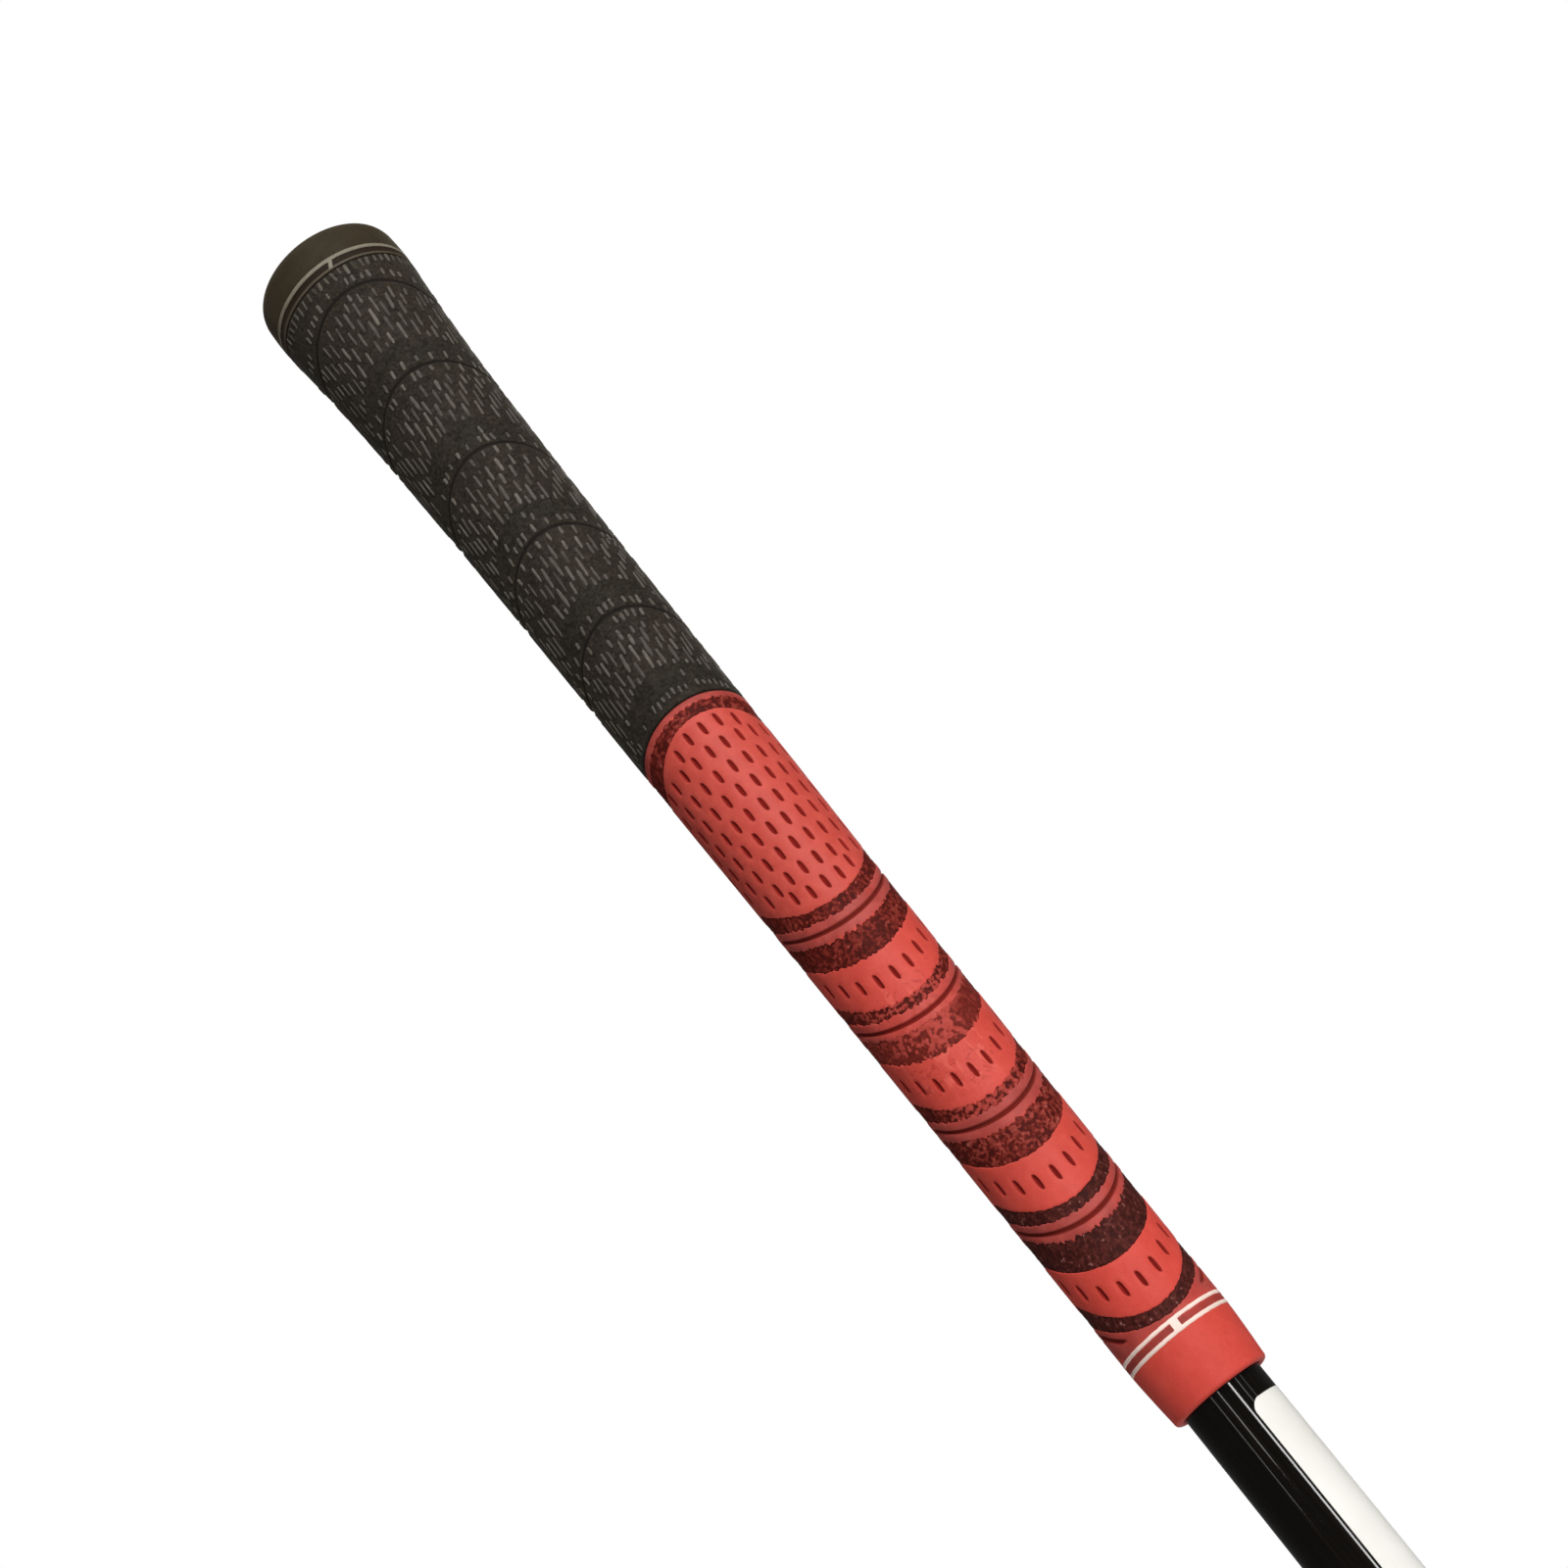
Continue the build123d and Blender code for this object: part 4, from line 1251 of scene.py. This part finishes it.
# --- painted rings ------------------------------------------------------------------------
def paint_rings(name, rings, bar_at, bar_w, slant, proud, mat, node, slot, radius, skew=0.0):
    (z0, z1), (z2, z3) = rings
    n = 300
    angles = list(np.linspace(-np.pi, np.pi, n, endpoint=False))
    bar = math.radians(bar_at) - PATTERN
    half = bar_w / 2 / float(radius(0.5 * (z1 + z2)))
    for a in (bar - half, bar + half):
        angles[int(np.argmin([abs(x - a) for x in angles]))] = a
    psi = np.array(angles)
    filled = (psi > bar - half - 1e-6) & (psi < bar + half - 1e-6)
    zs = [z0, 0.5 * (z0 + z1), z1, z2, 0.5 * (z2 + z3), z3]
    rough = [0.035, 0, 0.035, 0.035, 0, 0.035]
    zz = np.array([zs[j] + rough[j] * swell(psi * RM, np.zeros(n) + j * 9.0, 0.8, 700 + j) for j in range(6)])
    turn = np.zeros((6, n))
    for j in (2, 3):
        turn[j] = (slant / float(radius(z1))) * (0.5 if j == 3 else -0.5) * np.exp(-(((psi - bar) / (4 * half)) ** 2))
    crown = [0.0, 0.012, 0.0, 0.0, 0.012, 0.0]
    out, inn = [], []
    for j in range(6):
        r = radius(zz[j])
        out.append(place((psi + turn[j]) * RM, zz[j], r + proud + crown[j]))
        inn.append(place((psi + turn[j]) * RM, zz[j], r - 0.09))
    co = np.concatenate(out + inn)
    O = lambda j, c: j * n + c % n
    I = lambda j, c: (6 + j) * n + c % n
    solid = lambda j, c: j in (0, 1, 3, 4) or (j == 2 and filled[c % n])
    faces = []
    for c in range(n):
        for j in range(5):
            if not solid(j, c):
                continue
            faces.append((O(j, c), O(j, c + 1), O(j + 1, c + 1), O(j + 1, c)))
            faces.append((I(j, c), I(j + 1, c), I(j + 1, c + 1), I(j, c + 1)))
            if j == 0 or not solid(j - 1, c):
                faces.append((O(j, c), I(j, c), I(j, c + 1), O(j, c + 1)))
            if j == 4 or not solid(j + 1, c):
                faces.append((O(j + 1, c), O(j + 1, c + 1), I(j + 1, c + 1), I(j + 1, c)))
            if not solid(j, c - 1):
                faces.append((O(j, c), O(j + 1, c), I(j + 1, c), I(j, c)))
            if not solid(j, c + 1):
                faces.append((O(j, c + 1), I(j, c + 1), I(j + 1, c + 1), O(j + 1, c + 1)))
    low = np.tile(np.repeat([1.0, 1.0, 1.0, 0.0, 0.0, 0.0], n), 2)
    low[2 * n:3 * n][filled] = 0.0
    low[8 * n:9 * n][filled] = 0.0
    return add_mesh(name, co, faces, [mat], attrs={"lower": low}, replaces=(node,), slot=slot)


paint_rings("collar_rings", [(9.70, 10.34), (11.55, 12.17)], 6.0, 1.40, 0.04, 0.022, WHITE, "collar_ring_paint", "ring_white", OUTER)

# --- butt cap ------------------------------------------------------------------------------
cap_line = cubic([254.6, 257.4, 260.28, 262.77], [14.68, 14.83, 14.845, 14.75])


def cap_radius(z):
    return cap_line(z)


def build_cap():
    def side(z, by=0.0):
        return (float(cap_radius(z)) - by, z)

    out = [side(254.60, 0.14), side(254.74, 0.02), side(254.9), side(255.38), side(255.46, 0.09), side(255.7, 0.12),
           side(256.05, 0.12), side(256.4, 0.12), side(256.64, 0.09), side(256.72), side(257.0), side(257.3)]
    out += [side(z) for z in np.linspace(257.7, 262.77, 15)]
    dome = cubic([0.0, 1.0, 2.0, 3.0, 4.0, 5.0, 6.0], [262.77, 263.75, 264.40, 264.84, 265.10, 265.20, 265.30])
    dome_r = cubic([0.0, 1.0, 2.0, 3.0, 4.0, 5.0, 6.0], [14.75, 14.50, 14.07, 13.42, 12.45, 11.2, 9.97])
    for t in np.linspace(0.12, 6.0, 30):
        out.append((float(dome_r(t)), float(dome(t))))
    for r in np.linspace(9.5, 3.0, 14):
        out.append((r, 265.30 + (266.58 - 265.30) * float(step((9.97 - r) / 7.6, -0.15, 1.15))))
    out += [(2.45, 266.55), (2.12, 266.46), (1.90, 266.25), (1.78, 265.9), (1.76, 264.0), (1.76, 261.72)]
    out += [(5.0, 261.72), (7.9, 261.72), (7.9, 260.0), (7.9, 258.22), (10.0, 258.22), (12.62, 258.22), (12.62, 256.4), (12.62, 254.60), (13.6, 254.60)]
    # no two points on the same spot
    clean = [out[0]]
    for p in out[1:]:
        if math.hypot(p[0] - clean[-1][0], p[1] - clean[-1][1]) > 0.02:
            clean.append(p)
    foot = np.tile([1.0 if (z < 256.66 and r > 12.0) else 0.0 for r, z in clean], 224)
    return turn_profile("butt_cap_rubber", clean, [CAP], seg=224, attrs={"foot": foot}, replaces=("butt_cap",), slot="cap_rubber")


build_cap()
paint_rings("cap_rings", [(254.86, 255.34), (256.68, 257.48)], 9.6, 0.86, 0.6, 0.004, BEIGE, "cap_ring_paint", "ring_white", cap_radius)


# --- shaft and label ---------------------------------------------------------------------------
def build_shaft():
    grip_end = 261.5

    def out_r(z):
        return 7.05 + (7.62 - 7.05) * max(z, 0.0) / grip_end

    low = -MOUTH / MM
    prof = [(7.05 - 0.18, low), (7.05 - 0.05, low + 0.06), (7.05, low + 0.22)]
    prof += [(7.05, z) for z in np.linspace(low + 0.6, -0.5, 24)]
    prof += [(out_r(z), z) for z in np.linspace(0.0, grip_end - 0.02, 20)]
    prof += [(5.90, z) for z in np.linspace(grip_end - 0.02, low + 0.4, 16)]
    prof += [(5.96, low + 0.12), (6.08, low)]
    return turn_profile("shaft_tube_gloss", prof, [SHAFT], seg=256, replaces=("shaft_tube",), slot="shaft_black")


build_shaft()


def build_label():
    z_top, z_low = -4.1, -44.1
    a0, a1 = math.radians(17.0) - PATTERN, math.radians(197.0) - PATTERN
    r = 7.05
    corner = 2.2
    cols, rows = 120, 90
    zs = np.concatenate([z_low + corner * (1 - np.cos(np.linspace(0, np.pi / 2, 14))),
                         np.linspace(z_low + corner, z_top - corner, rows - 28)[1:-1],
                         z_top - corner * (1 - np.sin(np.linspace(0, np.pi / 2, 14)))])
    zs = np.sort(zs)
    near = np.minimum(zs - z_low, z_top - zs)
    inset = np.where(near < corner, corner - np.sqrt(np.clip(corner**2 - (corner - near) ** 2, 0, None)), 0.0)
    t = np.concatenate([[0, 0.0016, 0.004], np.linspace(0.012, 0.988, cols - 6), [0.996, 0.9984, 1.0]])
    s0, s1 = a0 * r + inset, a1 * r - inset
    S_ = (s0[:, None] * (1 - t) + s1[:, None] * t) / r
    Zz = np.repeat(zs[:, None], len(t), 1)
    gap = np.minimum(S_ * r - a0 * r, a1 * r - S_ * r)
    rim = np.minimum(gap - 0 * Zz, np.minimum(Zz - z_low, z_top - Zz))
    proud = 0.012 + 0.03 * step(rim, 0.0, 0.10)
    m, h = len(zs), len(t)
    outer = place(S_ * RM, Zz, r + proud).reshape(-1, 3)
    inner = place(S_ * RM, Zz, r - 0.06 + 0 * proud).reshape(-1, 3)
    co = np.concatenate([outer, inner])
    faces = []
    for i in range(m - 1):
        for j in range(h - 1):
            a, b, c, d = i * h + j, i * h + j + 1, (i + 1) * h + j + 1, (i + 1) * h + j
            faces.append((a, b, c, d))
            faces.append((m * h + a, m * h + d, m * h + c, m * h + b))
    loop = [j for j in range(h)] + [i * h + h - 1 for i in range(1, m)] + [(m - 1) * h + j for j in range(h - 2, -1, -1)] + [i * h for i in range(m - 2, 0, -1)]
    for a, b in zip(loop, loop[1:] + loop[:1]):
        faces.append((a, a + m * h, b + m * h, b))
    edge = np.concatenate([1 - step(rim, 0.03, 0.10).ravel(), np.ones(m * h)])
    add_mesh("shaft_label_film", co, faces, [LABEL], attrs={"edge": edge}, replaces=("shaft_label",), slot="label_white")


build_label()

# --- floor, light, world -------------------------------------------------------------------------
def stage_material(name, c):
    m = Shade(name)
    n = m.noise(3.0, 2)
    m.set(Base_Color=m.mix(m.span(n, 0.3, 0.7), c, tuple(0.985 * x for x in c)))
    m.set(Roughness=0.85)
    m.b.inputs["Specular IOR Level"].default_value = 0.1
    return m.m


def build_stage():
    me = bpy.data.meshes.new("floor")
    n, rad = 96, 0.74
    co = [(rad * math.cos(2 * math.pi * k / n), rad * math.sin(2 * math.pi * k / n), 0.0) for k in range(n)]
    me.from_pydata(co, [], [tuple(range(n))])
    me.materials.append(stage_material("floor_pale", (0.88, 0.88, 0.87)))
    floor = bpy.data.objects.new("floor", me)
    bpy.context.scene.collection.objects.link(floor)
    floor.location.z = cad_lo.z - 0.0002


build_stage()


def area(name, az, el, dist, size, power, color=(1, 1, 1), aim=(0, 0, 0.2), spread=None):
    """Lamp at an azimuth from the front (-Y) towards +X and an elevation, aimed at a point."""
    data = bpy.data.lights.new(name, "AREA")
    data.shape = "RECTANGLE"
    data.size, data.size_y = size
    data.energy = power
    data.color = color
    if spread:
        data.spread = math.radians(spread)
    ob = bpy.data.objects.new(name, data)
    a, e = math.radians(az), math.radians(el)
    aim = Vector(aim)
    ob.location = aim + dist * Vector((math.sin(a) * math.cos(e), -math.cos(a) * math.cos(e), math.sin(e)))
    ob.rotation_mode = "QUATERNION"
    ob.rotation_quaternion = (aim - ob.location).to_track_quat("-Z", "Y")
    bpy.context.scene.collection.objects.link(ob)
    return ob


area("key", 27, 24, 1.4, (0.50, 0.80), 11.3)
area("overhead", 30, 82, 1.6, (1.4, 1.4), 7.0)
area("back", 168, 26, 1.7, (0.9, 1.2), 5.0)
area("strip_a", 26.8, 0, 1.5, (0.110, 1.6), 13.5, aim=(0, 0, 0.55))
area("strip_b", -7.6, 0, 1.5, (0.055, 1.2), 1.8, aim=(0, 0, 0.771))
area("strip_c", -29.0, 0, 1.5, (0.045, 1.2), 0.7, aim=(0, 0, 0.737))
area("strip_d", 48.0, 0, 1.5, (0.050, 1.6), 1.3, aim=(0, 0, 0.55))
area("strip_e", 64.0, 0, 1.5, (0.040, 1.6), 0.6, aim=(0, 0, 0.55))

world = bpy.data.worlds.new("studio")
bpy.context.scene.world = world
world.use_nodes = True
wt = world.node_tree
wt.nodes.clear()
wo = wt.nodes.new("ShaderNodeOutputWorld")
seen = wt.nodes.new("ShaderNodeBackground")
seen.inputs[0].default_value, seen.inputs[1].default_value = (1, 1, 1, 1), 1.0
lit = wt.nodes.new("ShaderNodeBackground")
lit.inputs[0].default_value, lit.inputs[1].default_value = (1.0, 0.99, 0.98, 1), 0.10
path = wt.nodes.new("ShaderNodeLightPath")
mixer = wt.nodes.new("ShaderNodeMixShader")
wt.links.new(path.outputs["Is Camera Ray"], mixer.inputs[0])
wt.links.new(lit.outputs[0], mixer.inputs[1])
wt.links.new(seen.outputs[0], mixer.inputs[2])
wt.links.new(mixer.outputs[0], wo.inputs[0])
bpy.context.scene.view_settings.view_transform = "Standard"
